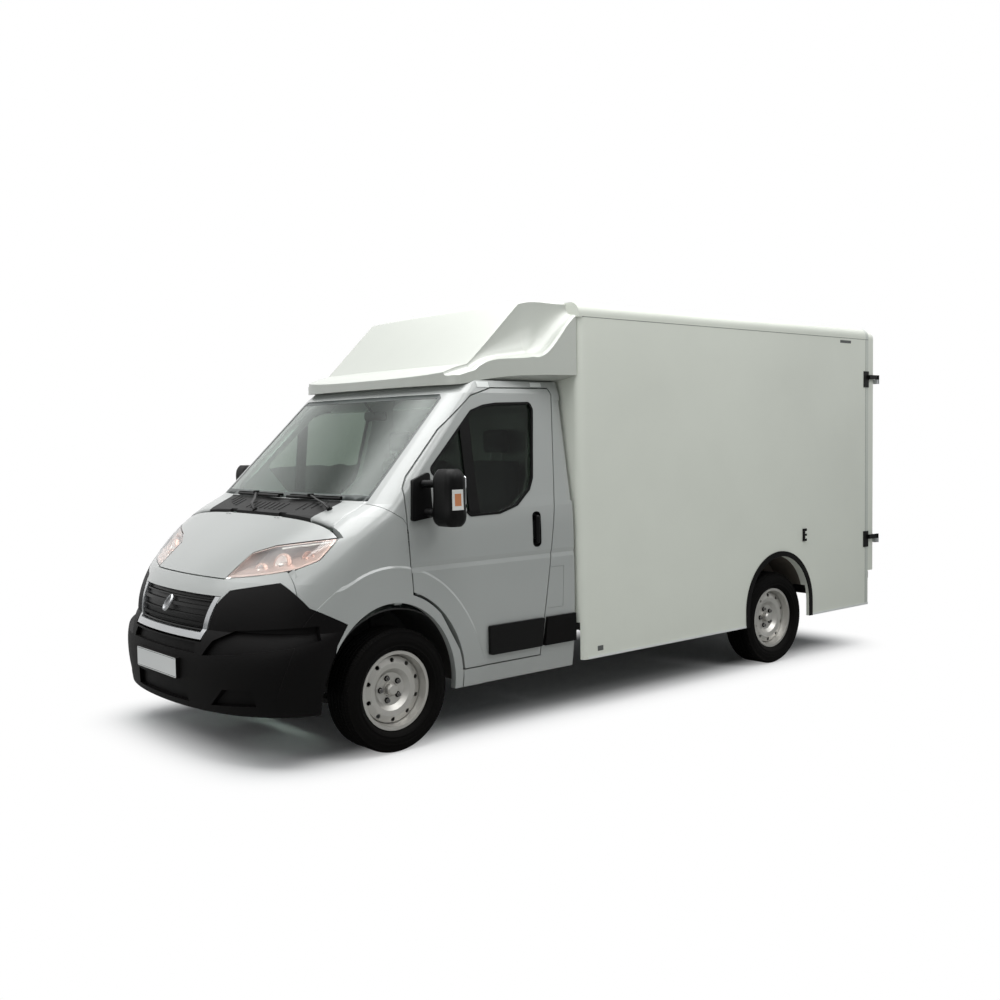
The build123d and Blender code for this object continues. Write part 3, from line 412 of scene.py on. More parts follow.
FINISHES = (
    Finish("cab_paint", (0.375, 0.39, 0.378), 0.32, coat=0.6, relief=Relief.SPRAY, relief_scale=420.0,
           relief_depth=0.00004, drift=0.04, dust=0.10, dust_top=0.8),
    Finish("box_laminate", (0.72, 0.745, 0.67), 0.42, coat=0.15, coat_roughness=0.2, relief=Relief.SPRAY,
           relief_scale=260.0, relief_depth=0.00008, drift=0.06, dust=0.12, dust_top=1.0),
    Finish("box_profile", (0.56, 0.59, 0.54), 0.38, coat=0.2, relief=Relief.SPRAY, relief_depth=0.00004,
           dust=0.10),
    Finish("fairing_gelcoat", (0.52, 0.54, 0.495), 0.35, coat=0.4, relief=Relief.SPRAY, relief_scale=160.0,
           relief_depth=0.0001, drift=0.05),
    Finish("bumper_plastic", (0.0034, 0.0031, 0.0031), 0.5, specular=0.08, relief=Relief.GRAIN, relief_scale=700.0,
           relief_depth=0.0003, drift=0.3, dust=0.008, dust_top=0.9, rub=0.10, rub_colour=(0.03, 0.03, 0.03)),
    Finish("scuttle_plastic", (0.012, 0.012, 0.0118), 0.55, specular=0.16, relief=Relief.GRAIN, relief_scale=700.0,
           relief_depth=0.0003, drift=0.2),
    Finish("satin_black", (0.0045, 0.0045, 0.0045), 0.36, specular=0.13, relief=Relief.GRAIN, relief_scale=1500.0,
           relief_depth=0.0001, drift=0.15),
    Finish("soft_black", (0.003, 0.003, 0.003), 0.75, specular=0.05, drift=0.2),
    Finish("grille_silver", (0.45, 0.46, 0.47), 0.28, metallic=0.7, coat=0.5, drift=0.05),
    Finish("tyre_rubber", (0.0026, 0.0024, 0.0022), 0.62, specular=0.05, relief=Relief.GRAIN, relief_scale=1200.0,
           relief_depth=0.0002, drift=0.3, dust=0.006, dust_top=0.7),
    Finish("wheel_silver", (0.50, 0.49, 0.46), 0.36, metallic=0.6, coat=0.3, coat_roughness=0.2, drift=0.1,
           relief=Relief.SPRAY, relief_scale=500.0, relief_depth=0.00005, dust=0.06, dust_top=0.7,
           rub=0.3, rub_colour=(0.12, 0.10, 0.09)),
    Finish("chassis_black", (0.012, 0.012, 0.012), 0.6, specular=0.25, drift=0.3, dust=0.10, dust_top=0.9,
           relief=Relief.SPRAY, relief_depth=0.0002),
    Finish("cast_iron", (0.13, 0.13, 0.135), 0.7, metallic=0.6, drift=0.3, dust=0.4, relief=Relief.GRAIN,
           relief_scale=300.0, relief_depth=0.0008),
    Finish("tank_plastic", (0.016, 0.016, 0.017), 0.6, drift=0.3, dust=0.5, relief=Relief.GRAIN,
           relief_depth=0.0003),
    Finish("exhaust_steel", (0.30, 0.27, 0.24), 0.5, metallic=0.9, drift=0.35, dust=0.4),
    Finish("zinc_plate", (0.50, 0.51, 0.52), 0.36, metallic=0.95, drift=0.15, rub=0.3,
           rub_colour=(0.7, 0.7, 0.7)),
    Finish("dash_plastic", (0.035, 0.036, 0.038), 0.62, relief=Relief.GRAIN, relief_scale=800.0,
           relief_depth=0.0003, drift=0.15),
    Finish("cabin_trim", (0.30, 0.31, 0.29), 0.7, relief=Relief.GRAIN, relief_scale=600.0,
           relief_depth=0.0003, drift=0.1),
    Finish("seat_cloth", (0.055, 0.06, 0.068), 0.9, sheen=0.3, relief=Relief.CLOTH, relief_scale=2400.0,
           relief_depth=0.0005, drift=0.25),
    Finish("load_floor", (0.10, 0.085, 0.07), 0.7, relief=Relief.GRAIN, relief_scale=350.0, relief_depth=0.0006,
           drift=0.3),
    Finish("red_lens", (0.35, 0.008, 0.006), 0.12, coat=1.0, drift=0.1),
    Finish("amber_lens", (0.55, 0.16, 0.02), 0.15, coat=1.0, drift=0.1),
    Finish("white_lens", (0.75, 0.75, 0.72), 0.15, coat=1.0, drift=0.05),
    Finish("plate_white", (0.82, 0.83, 0.82), 0.3, coat=0.4, drift=0.02),
    Finish("mirror_glass", (0.85, 0.87, 0.88), 0.02, metallic=1.0, drift=0.0),
    Finish("lamp_reflector", (0.42, 0.30, 0.26), 0.22, metallic=0.4, drift=0.4),
    # Reflector bowls: near-white, mostly diffuse colour, a painted reflection of the sky in place of a mirror finish.
    Finish("lamp_chrome", (0.95, 0.89, 0.86), 0.20, metallic=0.15, coat=0.8, drift=0.05),
    Finish("lamp_bronze", (0.55, 0.34, 0.27), 0.22, metallic=0.5, drift=0.2),
    Finish("lamp_amber", (0.62, 0.24, 0.10), 0.18, coat=0.8, drift=0.1),
    Finish("lamp_copper", (0.62, 0.36, 0.28), 0.16, metallic=0.6, coat=0.6, drift=0.4),
    Finish("badge_grey", (0.08, 0.08, 0.085), 0.25, metallic=0.6, coat=0.6, drift=0.05),
    Finish("glass_print", (0.055, 0.065, 0.062), 0.35, drift=0.1),
    # Seam strips: dark grey, painted shade of the grooves along the box's joints.
    Finish("seam_painted_shade", (0.13, 0.135, 0.12), 0.7, drift=0.2),
    Finish("label_grey", (0.10, 0.105, 0.10), 0.5, drift=0.2),
    Finish("cover_white", (0.70, 0.72, 0.70), 0.4, coat=0.3, drift=0.03),
    Finish("belt_black", (0.012, 0.012, 0.013), 0.8, relief=Relief.CLOTH, relief_scale=3200.0,
           relief_depth=0.0003, drift=0.2),
    Finish("display_black", (0.008, 0.009, 0.010), 0.08, coat=0.6, drift=0.0),
)
GLASSES = (
    GlassFinish("screen_glass", (0.74, 0.86, 0.79), ior=1.5),
    GlassFinish("side_glass", (0.17, 0.20, 0.17)),
    GlassFinish("lamp_lens", (0.95, 0.95, 0.94)),
)

# Material slot of each finish, listed by slot.
SLOT_OF = {key: value for value, keys in {
    "cab_paint": "cab_paint",
    "box_panel": "box_laminate cover_white plate_white",
    "box_frame": "seam_painted_shade",
    "dark_plastic": "label_grey satin_black soft_black",
    "grille_bright": "grille_silver badge_grey lamp_chrome lamp_bronze",
    "tyre_rubber": "tyre_rubber",
    "steel_wheel": "wheel_silver",
    "engine_iron": "cast_iron",
    "zinc_steel": "zinc_plate mirror_glass",
    "interior_plastic": "dash_plastic cabin_trim display_black",
    "seat_cloth": "belt_black seat_cloth",
    "lamp_red": "red_lens amber_lens",
    "lamp_clear": "white_lens lamp_amber lamp_copper",
    "glazing": "glass_print",
}.items() for key in keys.split()}

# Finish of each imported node, listed by finish; rims and tyres go by the first word of their names.
NODE_FINISH = {key: value for value, keys in {
    "cab_paint": "cab_body bonnet front_fenders front_panel cab_door_left cab_door_right",
    "box_laminate": "box_front_wall box_roof box_side_walls rear_door_left rear_door_right",
    "box_profile": "box_rear_frame",
    "load_floor": "box_floor",
    "fairing_gelcoat": "roof_fairing",
    "bumper_plastic": "front_bumper body_rub_strips arch_trims",
    "scuttle_plastic": "scuttle",
    "tank_plastic": "wheel_housings fuel_tank",
    "satin_black": "door_fittings_left door_fittings_right wipers grille rear_hinge_plates door_catches",
    "grille_silver": "grille_surround",
    "lamp_reflector": "lamp_housings",
    "lamp_lens": "headlamps",
    "red_lens": "rear_lamps",
    "screen_glass": "windscreen",
    "side_glass": "door_glass_left door_glass_right",
    "chassis_black": "chassis_frame front_suspension rear_axle leaf_springs knuckle_left knuckle_right rear_bumper "
                     "front_frame",
    "cast_iron": "engine_block",
    "exhaust_steel": "exhaust",
    "zinc_plate": "rear_door_fittings_left rear_door_fittings_right",
    "dash_plastic": "dashboard steering_wheel seat_bases cab_floor",
    "seat_cloth": "seats",
}.items() for key in keys.split()}


# ---------------------------------------------------------------- shapes
def side_label(side: float) -> str:
    """Name of the side with this sign."""
    return "left" if side > 0 else "right"


class Surface:
    """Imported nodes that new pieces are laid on, found by casting rays."""

    def __init__(self, frame: dict, *names: str) -> None:
        """Prepares the named nodes of the frame for ray casts."""
        graph = bpy.context.evaluated_depsgraph_get()
        self.trees = [BVHTree.FromObject(frame["nodes"][name], graph) for name in names]

    def hit(self, origin: Vector, direction: Vector, reach: float = 3.0) -> tuple[Vector, Vector] | None:
        """Finds the first point that a ray meets within its reach, and the outward normal there."""
        found = [tree.ray_cast(origin, direction, reach) for tree in self.trees]
        found = [each for each in found if each[0] is not None]
        if not found:
            return None
        point, normal, _, _ = min(found, key=lambda each: each[3])
        return point, -normal if normal.dot(direction) > 0 else normal

    def from_front(self, x: float, z: float) -> tuple[Vector, Vector] | None:
        """Finds what shows from in front of the van at a place across it and a height."""
        return self.hit(Vector((x, FRONT_START, z)), Vector((0, 1, 0)), FRONT_REACH)


class Shape:
    """A mesh in the making, shaped with bmesh operators in the van's own frame."""

    def __init__(self) -> None:
        """Starts with nothing."""
        self.mesh = bmesh.new()

    # ------------------------------------------------------------ starting forms
    @classmethod
    def block(cls, low: Point, high: Point, rounding: float = 0.0, segments: int = 2) -> Shape:
        """Box between two corners, its edges rounded in a few segments."""
        shape = cls()
        size = [max(b - a, THINNEST) for a, b in zip(low, high)]
        bmesh.ops.create_cube(shape.mesh, size=1.0)
        shape.scale(*size).move(*[(a + b) / 2 for a, b in zip(low, high)])
        if rounding > 0:
            shape._bevel(list(shape.mesh.edges), rounding, segments)
        return shape

    @classmethod
    def slab(cls, low: Point, high: Point, axis: int, corner: float, edge: float = 0.0) -> Shape:
        """Flat plate across an axis, with rounded corners along that axis and smaller rounded edges."""
        shape = cls.block(low, high)
        upright = [e for e in shape.mesh.edges
                   if abs((e.verts[0].co - e.verts[1].co).normalized()[axis]) > ALONG_AXIS]
        shape._bevel(upright, corner, 5)
        if edge > 0:
            rest = [e for e in shape.mesh.edges if e.is_manifold and e.calc_face_angle(0.0) > SHARP_TURN]
            shape._bevel(rest, edge, 2)
        return shape

    @classmethod
    def tube(cls, start: Point, end: Point, radius: float, end_radius: float | None = None,
             sides: int = 16) -> Shape:
        """Round or many-sided bar between two points, with a radius at each end."""
        shape = cls()
        line = Vector(end) - Vector(start)
        bmesh.ops.create_cone(shape.mesh, cap_ends=True, segments=sides, radius1=radius,
                              radius2=radius if end_radius is None else end_radius, depth=line.length)
        return shape.apply(Matrix.Translation((Vector(start) + Vector(end)) / 2)
                           @ line.to_track_quat("Z", "Y").to_matrix().to_4x4())

    @classmethod
    def lathe(cls, profile: Profile, steps: int = 72, closed: bool = True) -> Shape:
        """Section of (axial, radius) points turned about X; a closed one joins its last point to the first."""
        shape = cls()
        verts = [shape.mesh.verts.new((axial, 0.0, radius)) for axial, radius in profile]
        pairs = list(zip(verts, verts[1:])) + ([(verts[-1], verts[0])] if closed else [])
        edges = [shape.mesh.edges.new(pair) for pair in pairs]
        bmesh.ops.spin(shape.mesh, geom=verts + edges, cent=(0, 0, 0), axis=(1, 0, 0), dvec=(0, 0, 0),
                       angle=math.tau, steps=steps, use_merge=True, use_duplicate=False)
        return shape.clean()

    @classmethod
    def sweep(cls, path: list[Vector], width: float, height: float, sides: int = 8,
              ends: float = 1.0) -> Shape:
        """Oval bar along a path, made by extruding a ring from point to point.

        Args:
            path: points of the centre line.
            width: full width, level across the path.
            height: full height.
            sides: sides of the ring.
            ends: size of the last ring as a share of the first.

        Returns:
            The bar.
        """
        shape = cls()
        bmesh.ops.create_circle(shape.mesh, cap_ends=False, segments=sides, radius=0.5,
                                matrix=Matrix.Rotation(math.pi / sides, 4, "Z"))
        loop, last, before = list(shape.mesh.verts), None, Matrix.Identity(4)
        for index, point in enumerate(path):
            after = path[min(index + 1, len(path) - 1)] - path[max(index - 1, 0)]
            size = 1.0 + (ends - 1.0) * index / max(1, len(path) - 1)
            side = after.cross(Vector((0, 0, 1)))
            side = side.normalized() if side.length > MERGE_DISTANCE else Vector((1, 0, 0))
            up = side.cross(after).normalized()
            place = Matrix((side * width * size, up * height * size, after.normalized())).transposed().to_4x4()
            place.translation = point
            if last is not None:
                edges = [e for v in loop for e in v.link_edges if all(w in last for w in e.verts)]
                made = bmesh.ops.extrude_edge_only(shape.mesh, edges=list(set(edges)))["geom"]
                loop = [item for item in made if isinstance(item, bmesh.types.BMVert)]
            bmesh.ops.transform(shape.mesh, matrix=place @ before.inverted(), verts=loop)
            last, before = set(loop), place
        bmesh.ops.holes_fill(shape.mesh, edges=list(shape.mesh.edges), sides=0)
        return shape.clean()

    @classmethod
    def draped(cls, surface: Surface, columns: int, rows: int, ray: Ray, lift: float,
               thickness: float) -> Shape:
        """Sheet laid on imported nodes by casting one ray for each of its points.

        Args:
            surface: what it lies on.
            columns: steps along u.
            rows: steps along v.
            ray: gives a ray's origin and direction from u and v, each 0 to 1.
            lift: height of the sheet's lower side above the surface.
            thickness: how thick the sheet is.

        Returns:
            The sheet, closed all round.
        """
        shape = cls()
        bmesh.ops.create_grid(shape.mesh, x_segments=columns, y_segments=rows, size=0.5)
        lost, normals = [], {}
        for vert in shape.mesh.verts:
            origin, direction = ray(vert.co.x + 0.5, vert.co.y + 0.5)
            found = surface.hit(origin, direction.normalized())
            if found is None:
                lost.append(vert)
                continue
            vert.co = found[0] + found[1] * lift
            normals[vert.co.to_tuple(6)] = found[1]
        bmesh.ops.delete(shape.mesh, geom=lost, context="VERTS")
        made = bmesh.ops.extrude_face_region(shape.mesh, geom=list(shape.mesh.faces), use_keep_orig=True)["geom"]
        for vert in [item for item in made if isinstance(item, bmesh.types.BMVert)]:
            vert.co += normals[vert.co.to_tuple(6)] * thickness
        return shape.clean()

    @classmethod
    def copy_of(cls, node: bpy.types.Object) -> Shape:
        """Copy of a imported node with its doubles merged."""
        shape = cls()
        shape.mesh.from_mesh(node.data)
        bmesh.ops.remove_doubles(shape.mesh, verts=list(shape.mesh.verts), dist=SEAM_DISTANCE)
        return shape

    # ------------------------------------------------------------ changes
    def _bevel(self, edges: list, offset: float, segments: int) -> None:
        """Rounds the given edges."""
        bmesh.ops.bevel(self.mesh, geom=edges, offset=offset, segments=segments, profile=0.5,
                        affect="EDGES", material=-1, clamp_overlap=True)

    def apply(self, matrix: Matrix) -> Shape:
        """Moves every point by a matrix."""
        bmesh.ops.transform(self.mesh, matrix=matrix, verts=list(self.mesh.verts))
        return self

    def move(self, x: float, y: float, z: float) -> Shape:
        """Shifts the shape."""
        return self.apply(Matrix.Translation((x, y, z)))

    def scale(self, x: float, y: float, z: float) -> Shape:
        """Scales the shape about the origin."""
        return self.apply(Matrix.Diagonal((x, y, z, 1.0)))

    def turn(self, degrees: float, axis: str, centre: Point = (0.0, 0.0, 0.0)) -> Shape:
        """Turns the shape about a line through a point."""
        move = Matrix.Translation(centre)
        return self.apply(move @ Matrix.Rotation(math.radians(degrees), 4, axis) @ move.inverted())

    def aim(self, direction: Vector, place: Vector) -> Shape:
        """Turns the X axis to a direction and moves the origin to a place."""
        return self.apply(Matrix.Translation(place) @ direction.to_track_quat("X", "Z").to_matrix().to_4x4())

    def flip(self) -> Shape:
        """Mirrors the shape to the van's other side."""
        return self.scale(-1.0, 1.0, 1.0).clean()

    def on_side(self, side: float) -> Shape:
        """Mirrors a shape made for the left side where it belongs to the right."""
        return self if side > 0 else self.flip()

    def cut(self, place: Vector, outward: Vector, drop_inner: bool = False) -> Shape:
        """Cuts the shape along a plane, and may drop what lies behind the plane."""
        bmesh.ops.bisect_plane(self.mesh, geom=[*self.mesh.verts, *self.mesh.edges, *self.mesh.faces],
                               dist=MERGE_DISTANCE, plane_co=place, plane_no=outward, clear_inner=drop_inner)
        return self

    def float_off(self, lift: float) -> Shape:
        """Moves every point along its normal."""
        self.mesh.normal_update()
        for vert in self.mesh.verts:
            vert.co += vert.normal * lift
        return self

    def join(self, *others: Shape) -> Shape:
        """Takes other shapes into this one."""
        for other in others:
            store = bpy.data.meshes.new("joining")
            other.mesh.to_mesh(store)
            other.mesh.free()
            self.mesh.from_mesh(store)
            bpy.data.meshes.remove(store)
        return self

    def clean(self) -> Shape:
        """Merges doubles and turns every face outwards."""
        bmesh.ops.remove_doubles(self.mesh, verts=list(self.mesh.verts), dist=MERGE_DISTANCE)
        bmesh.ops.dissolve_degenerate(self.mesh, edges=list(self.mesh.edges), dist=MERGE_DISTANCE / 10)
        bmesh.ops.recalc_face_normals(self.mesh, faces=list(self.mesh.faces))
        return self

    def piece(self, name: str, smooth: float = 35.0) -> bpy.types.Object:
        """Makes the named object at the origin; edges that turn less than smooth degrees are shaded smooth."""
        for face in self.mesh.faces:
            face.smooth = True
        mesh = bpy.data.meshes.new(name)
        self.mesh.to_mesh(mesh)
        self.mesh.free()
        mesh.set_sharp_from_angle(angle=math.radians(smooth))
        made = bpy.data.objects.new(name, mesh)
        bpy.context.scene.collection.objects.link(made)
        return made


@dataclass(frozen=True)
class Layout:
    """Places on the van, in metres, measured as its builder would."""

    axle_line: float
    wheels: dict[str, tuple[Vector, Vector]]

    @classmethod
    def from_frame(cls) -> Layout:
        """Reads the axle line and the wheels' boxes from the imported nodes."""
        corners = [f"{axle}_{side}" for axle in ("front", "rear") for side in ("left", "right")]
        boxes = {corner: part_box(f"tyre_{corner}") for corner in corners}
        low, high = boxes["front_left"]
        return cls((low.y + high.y) / 2, boxes)

    def spot(self, x: float, behind: float, z: float) -> Vector:
        """Point from its distance behind the front axle."""
        return Vector((x, behind + self.axle_line, z))

    def spots(self, places: Sequence[Point]) -> list[Vector]:
        """Points from their places across, behind the front axle and up."""
        return [self.spot(*place) for place in places]


class Workshop:
    """Materials by name, and the calls that hand pieces to the frame."""

    def __init__(self, frame: dict) -> None:
        """Keeps the loaded frame and builds every finish."""
        self.frame = frame
        self.layout = Layout.from_frame()
        effects = EffectLibrary()
        self.materials = {item.name: item.build(effects) for item in (*FINISHES, *GLASSES)}

    def dress_nodes(self) -> None:
        """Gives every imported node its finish."""
        for name, piece in self.frame["nodes"].items():
            finish = NODE_FINISH.get(name)
            if finish is None:
                kind = name.split("_")[0]
                finish = {"rim": "wheel_silver", "tyre": "tyre_rubber"}.get(kind, "satin_black")
            for slot in piece.material_slots:
                slot.link = "OBJECT"
                slot.material = self.materials[finish]
            log.info("node %s: %s", name, finish)

    def place(self, shape: Shape, name: str, finish: str, body: str, smooth: float = 35.0) -> bpy.types.Object:
        """Finishes a shape and lets it ride on its body.

        Args:
            shape: the finished shape.
            name: the piece's name.
            finish: name of its finish.
            body: the body that carries it.
            smooth: edges that turn less than this are shaded smooth.

        Returns:
            The piece.
        """
        piece = shape.piece(name, smooth)
        piece.data.materials.append(self.materials[finish])
        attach(piece, body)
        log.info("piece %s: %d faces on %s", name, len(piece.data.polygons), body)
        return piece


# ---------------------------------------------------------------- wheels
@dataclass
class Tyre:
    """Road tyre with ribs, shoulder blocks and a plain ringed sidewall."""

    corner: str
    steps: int = 120
    groove_depth: float = 0.008
    block_height: float = 0.004
    rib_edges: tuple[float, ...] = (0.0135, 0.0215, 0.0435, 0.0515, 0.0775)
    groove_slant: float = 0.0015
    shoulder_reach: float = 0.011
    rib_fall: float = 0.003
    cut_width: float = 0.0016
    cut_depth: float = 0.95
    steepest_block: float = 0.6
    bead_width: float = 0.073
    bead_overlap: float = 0.012
    # Sidewall points from the shoulder down, each as inset from the widest place and drop from the tread.
    wall: Profile = ((0.0085, 0.019), (0.0035, 0.036), (0.0012, 0.050), (0.0022, 0.052), (0.0005, 0.062), (0.0, 0.074),
                     (0.0014, 0.077), (0.0016, 0.088), (0.0004, 0.090), (0.004, 0.098), (0.011, 0.108), (0.024, 0.117))
    foot: Pair = (0.002, 0.1195)

    def build(self, shop: Workshop) -> None:
        """Makes the tyre and puts it in the place of its plain node."""
        low, high = shop.layout.wheels[self.corner]
        centre, radius, half = (low + high) / 2, (high.z - low.z) / 2, (high.x - low.x) / 2
        rim_low, rim_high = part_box(f"rim_{self.corner}")
        bead = (rim_high.z - rim_low.z) / 2 - self.bead_overlap
        base, floor = radius - self.block_height, radius - self.groove_depth
        side = [(0.0, base)]
        for start, end in (self.rib_edges[0:2], self.rib_edges[2:4]):
            side += [(start, base), (start + self.groove_slant, floor), (end - self.groove_slant, floor), (end, base)]
        side += [(self.rib_edges[-1], base), *((half - inset, radius - drop) for inset, drop in self.wall),
                 (self.bead_width + self.foot[0], radius - self.foot[1]), (self.bead_width, bead)]
        shape = Shape.lathe([(-x, r) for x, r in reversed(side[1:])] + side, self.steps)
        blocks = [face for face in shape.mesh.faces if self._is_block(face, base)]
        bmesh.ops.inset_individual(shape.mesh, faces=blocks, thickness=self.cut_width,
                                   depth=self.block_height * self.cut_depth)
        piece = shop.place(shape.clean().move(*centre), f"{self.corner}_tyre_carcass", "tyre_rubber",
                           f"wheel_{self.corner}")
        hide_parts(f"tyre_{self.corner}")

    def _is_block(self, face: bmesh.types.BMFace, base: float) -> bool:
        """Whether a face is the top of a tread block, on a rib or on the shoulder that falls away beside it."""
        middle, shoulder = face.calc_center_median(), self.rib_edges[-1]
        fall = self.shoulder_reach if abs(middle.x) > shoulder else self.rib_fall
        return math.hypot(middle.y, middle.z) > base - fall and abs(face.normal.x) < self.steepest_block \
            and abs(middle.x) < shoulder + self.shoulder_reach


@dataclass
class WheelFittings:
    """Wheel bolts in their recesses, centre ring, tyre valve and brake disc of one wheel."""

    corner: str
    bolts: int = 5
    first_bolt: float = 36.0
    bolt_circle: float = 0.065
    # Round parts on the bolt circle: first and last axial place, radii at both, sides.
    head: tuple[float, ...] = (0.022, 0.037, 0.0128, 0.0118, 6)
    head_cap: tuple[float, ...] = (0.0372, 0.0385, 0.0085, 0.0075, 12)
    cup: tuple[float, ...] = (0.016, 0.0245, 0.0175, 0.0155, 24)
    ring: Profile = ((0.0180, 0.0405), (0.0215, 0.0415), (0.0220, 0.0440), (0.0180, 0.0450))
    valve: tuple[Point, Point] = ((0.020, 0.0, 0.181), (0.052, 0.0, 0.172))
    valve_radii: Pair = (0.0045, 0.0035)
    disc_faces: Pair = (-0.020, -0.044)
    disc_radius: float = 0.150
    hub_radius: float = 0.0625
    vent: Pair = (0.004, 0.02)

    def build(self, shop: Workshop) -> None:
        """Makes the fittings in the wheel's own frame and carries them to their place."""
        low, high = shop.layout.wheels[self.corner]
        centre = (low + high) / 2
        axle, side = self.corner.split("_")
        heads, cups = Shape(), Shape()
        for index in range(self.bolts):
            angle = math.tau * index / self.bolts + math.radians(self.first_bolt)
            y, z = self.bolt_circle * math.cos(angle), self.bolt_circle * math.sin(angle)
            head, head_cap, cup = (Shape.tube((first, y, z), (last, y, z), *rest)
                                   for first, last, *rest in (self.head, self.head_cap, self.cup))
            heads.join(head, head_cap)
            cups.join(cup)
        ring = Shape.lathe(self.ring, 48)
        valve = Shape.tube(*self.valve, *self.valve_radii, 10)
        body = f"wheel_{self.corner}"
        parts = [("bolt_heads", heads, "cast_iron", body), ("bolt_cups", cups, "soft_black", body),
                 ("centre_ring", ring, "wheel_silver", body), ("valve", valve, "satin_black", body)]
        if axle == "front":
            parts += [("brake_disc", self._disc(), "cast_iron", body),
                      ("brake_calliper", self._calliper(), "cast_iron", f"knuckle_{side}")]
        for name, shape, finish, carrier in parts:
            shop.place(shape.on_side(centre.x).move(*centre), f"{self.corner}_{name}", finish, carrier)

    def _disc(self) -> Shape:
        """Vented brake disc behind the wheel's centre."""
        face, back = self.disc_faces
        half_gap, gap_depth = self.vent
        middle, floor = (face + back) / 2, self.disc_radius - gap_depth
        return Shape.lathe([(face, self.hub_radius), (face, self.disc_radius), (middle + half_gap, self.disc_radius),
                            (middle + half_gap, floor), (middle - half_gap, floor),
                            (middle - half_gap, self.disc_radius), (back, self.disc_radius),
                            (back, self.hub_radius)])

    @staticmethod
    def _calliper() -> Shape:
        """Sliding calliper astride the disc, behind the axle."""
        bridge = Shape.block((-0.078, 0.098, -0.050), (-0.028, 0.154, 0.050), 0.012, 3)
        slot = Shape.block((-0.052, 0.062, -0.050), (-0.046, 0.120, 0.050), 0.002)
        piston = Shape.tube((-0.092, 0.122, 0.0), (-0.074, 0.122, 0.0), 0.026, 0.028, 24)
        return bridge.join(slot, piston)


# ---------------------------------------------------------------- nose
@dataclass
class NumberPlate:
    """Blank plate in a thin black holder."""

    name: str
    body: str
    centre: Point
    facing: float
    width: float = 0.520
    height: float = 0.110
    thickness: float = 0.0003
    corner: float = 0.010
    lip: Pair = (0.008, 0.006)
    lip_height: float = 0.0035
    lip_proud: float = 0.0001

    def build(self, shop: Workshop) -> None:
        """Makes the plate and its holder."""
        x, y, z = self.centre
        half, tall, out = self.width / 2, self.height / 2, self.facing * self.thickness
        low, high = sorted((y, y + out))
        plate = Shape.slab((x - half, low, z - tall), (x + half, high, z + tall), 1, self.corner)
        shop.place(plate, f"{self.name}_blank", "plate_white", self.body)
        lines, third = Shape(), self.lip_height / 3
        for level in (z - tall + self.lip[1], z + tall - self.lip[1]):
            lines.join(Shape.block((x - half + self.lip[0], low - self.lip_proud, level - third),
                                   (x + half - self.lip[0], high + self.lip_proud, level + third)))
        shop.place(lines, f"{self.name}_holder_lip", "satin_black", self.body)


@dataclass
class Badge:
    """Plain oval ring with a blank dark centre, where a maker would put a sign."""

    width: float = 0.062
    height: float = 0.106
    level: float = 0.816
    depth: float = 0.014
    stand_off: float = 0.014
    probe: float = 0.03
    # Sections as (axial, radius), in shares of the depth and of the width and height.
    ring: Profile = ((0.0, 0.44), (0.0, 0.50), (0.55, 0.485), (0.85, 0.44), (0.85, 0.41), (0.3, 0.38), (0.0, 0.38))
    dish: Profile = ((0.0, 0.0), (0.0, 0.40), (0.25, 0.39), (0.42, 0.2), (0.48, 0.0))

    def build(self, shop: Workshop) -> None:
        """Makes the ring and its plain centre on the grille."""
        grille = Surface(shop.frame, "grille", "grille_surround")
        low, high = (grille.from_front(0.0, self.level + step)[0] for step in (-self.probe, self.probe))
        lean = (high - low).normalized()
        face = Vector((0.0, -lean.z, lean.y))
        place = Matrix((face, Vector((1.0, 0.0, 0.0)), lean)).transposed().to_4x4()
        place.translation = (low + high) / 2 + face * self.stand_off
        ring, dish = Shape.lathe(self.ring, 64), Shape.lathe(self.dish, 64, False)
        for name, shape, finish in (("badge_ring", ring, "grille_silver"), ("badge_blank", dish, "badge_grey")):
            shape.scale(self.depth, self.width, self.height).apply(place).clean()
            shop.place(shape, name, finish, "root")


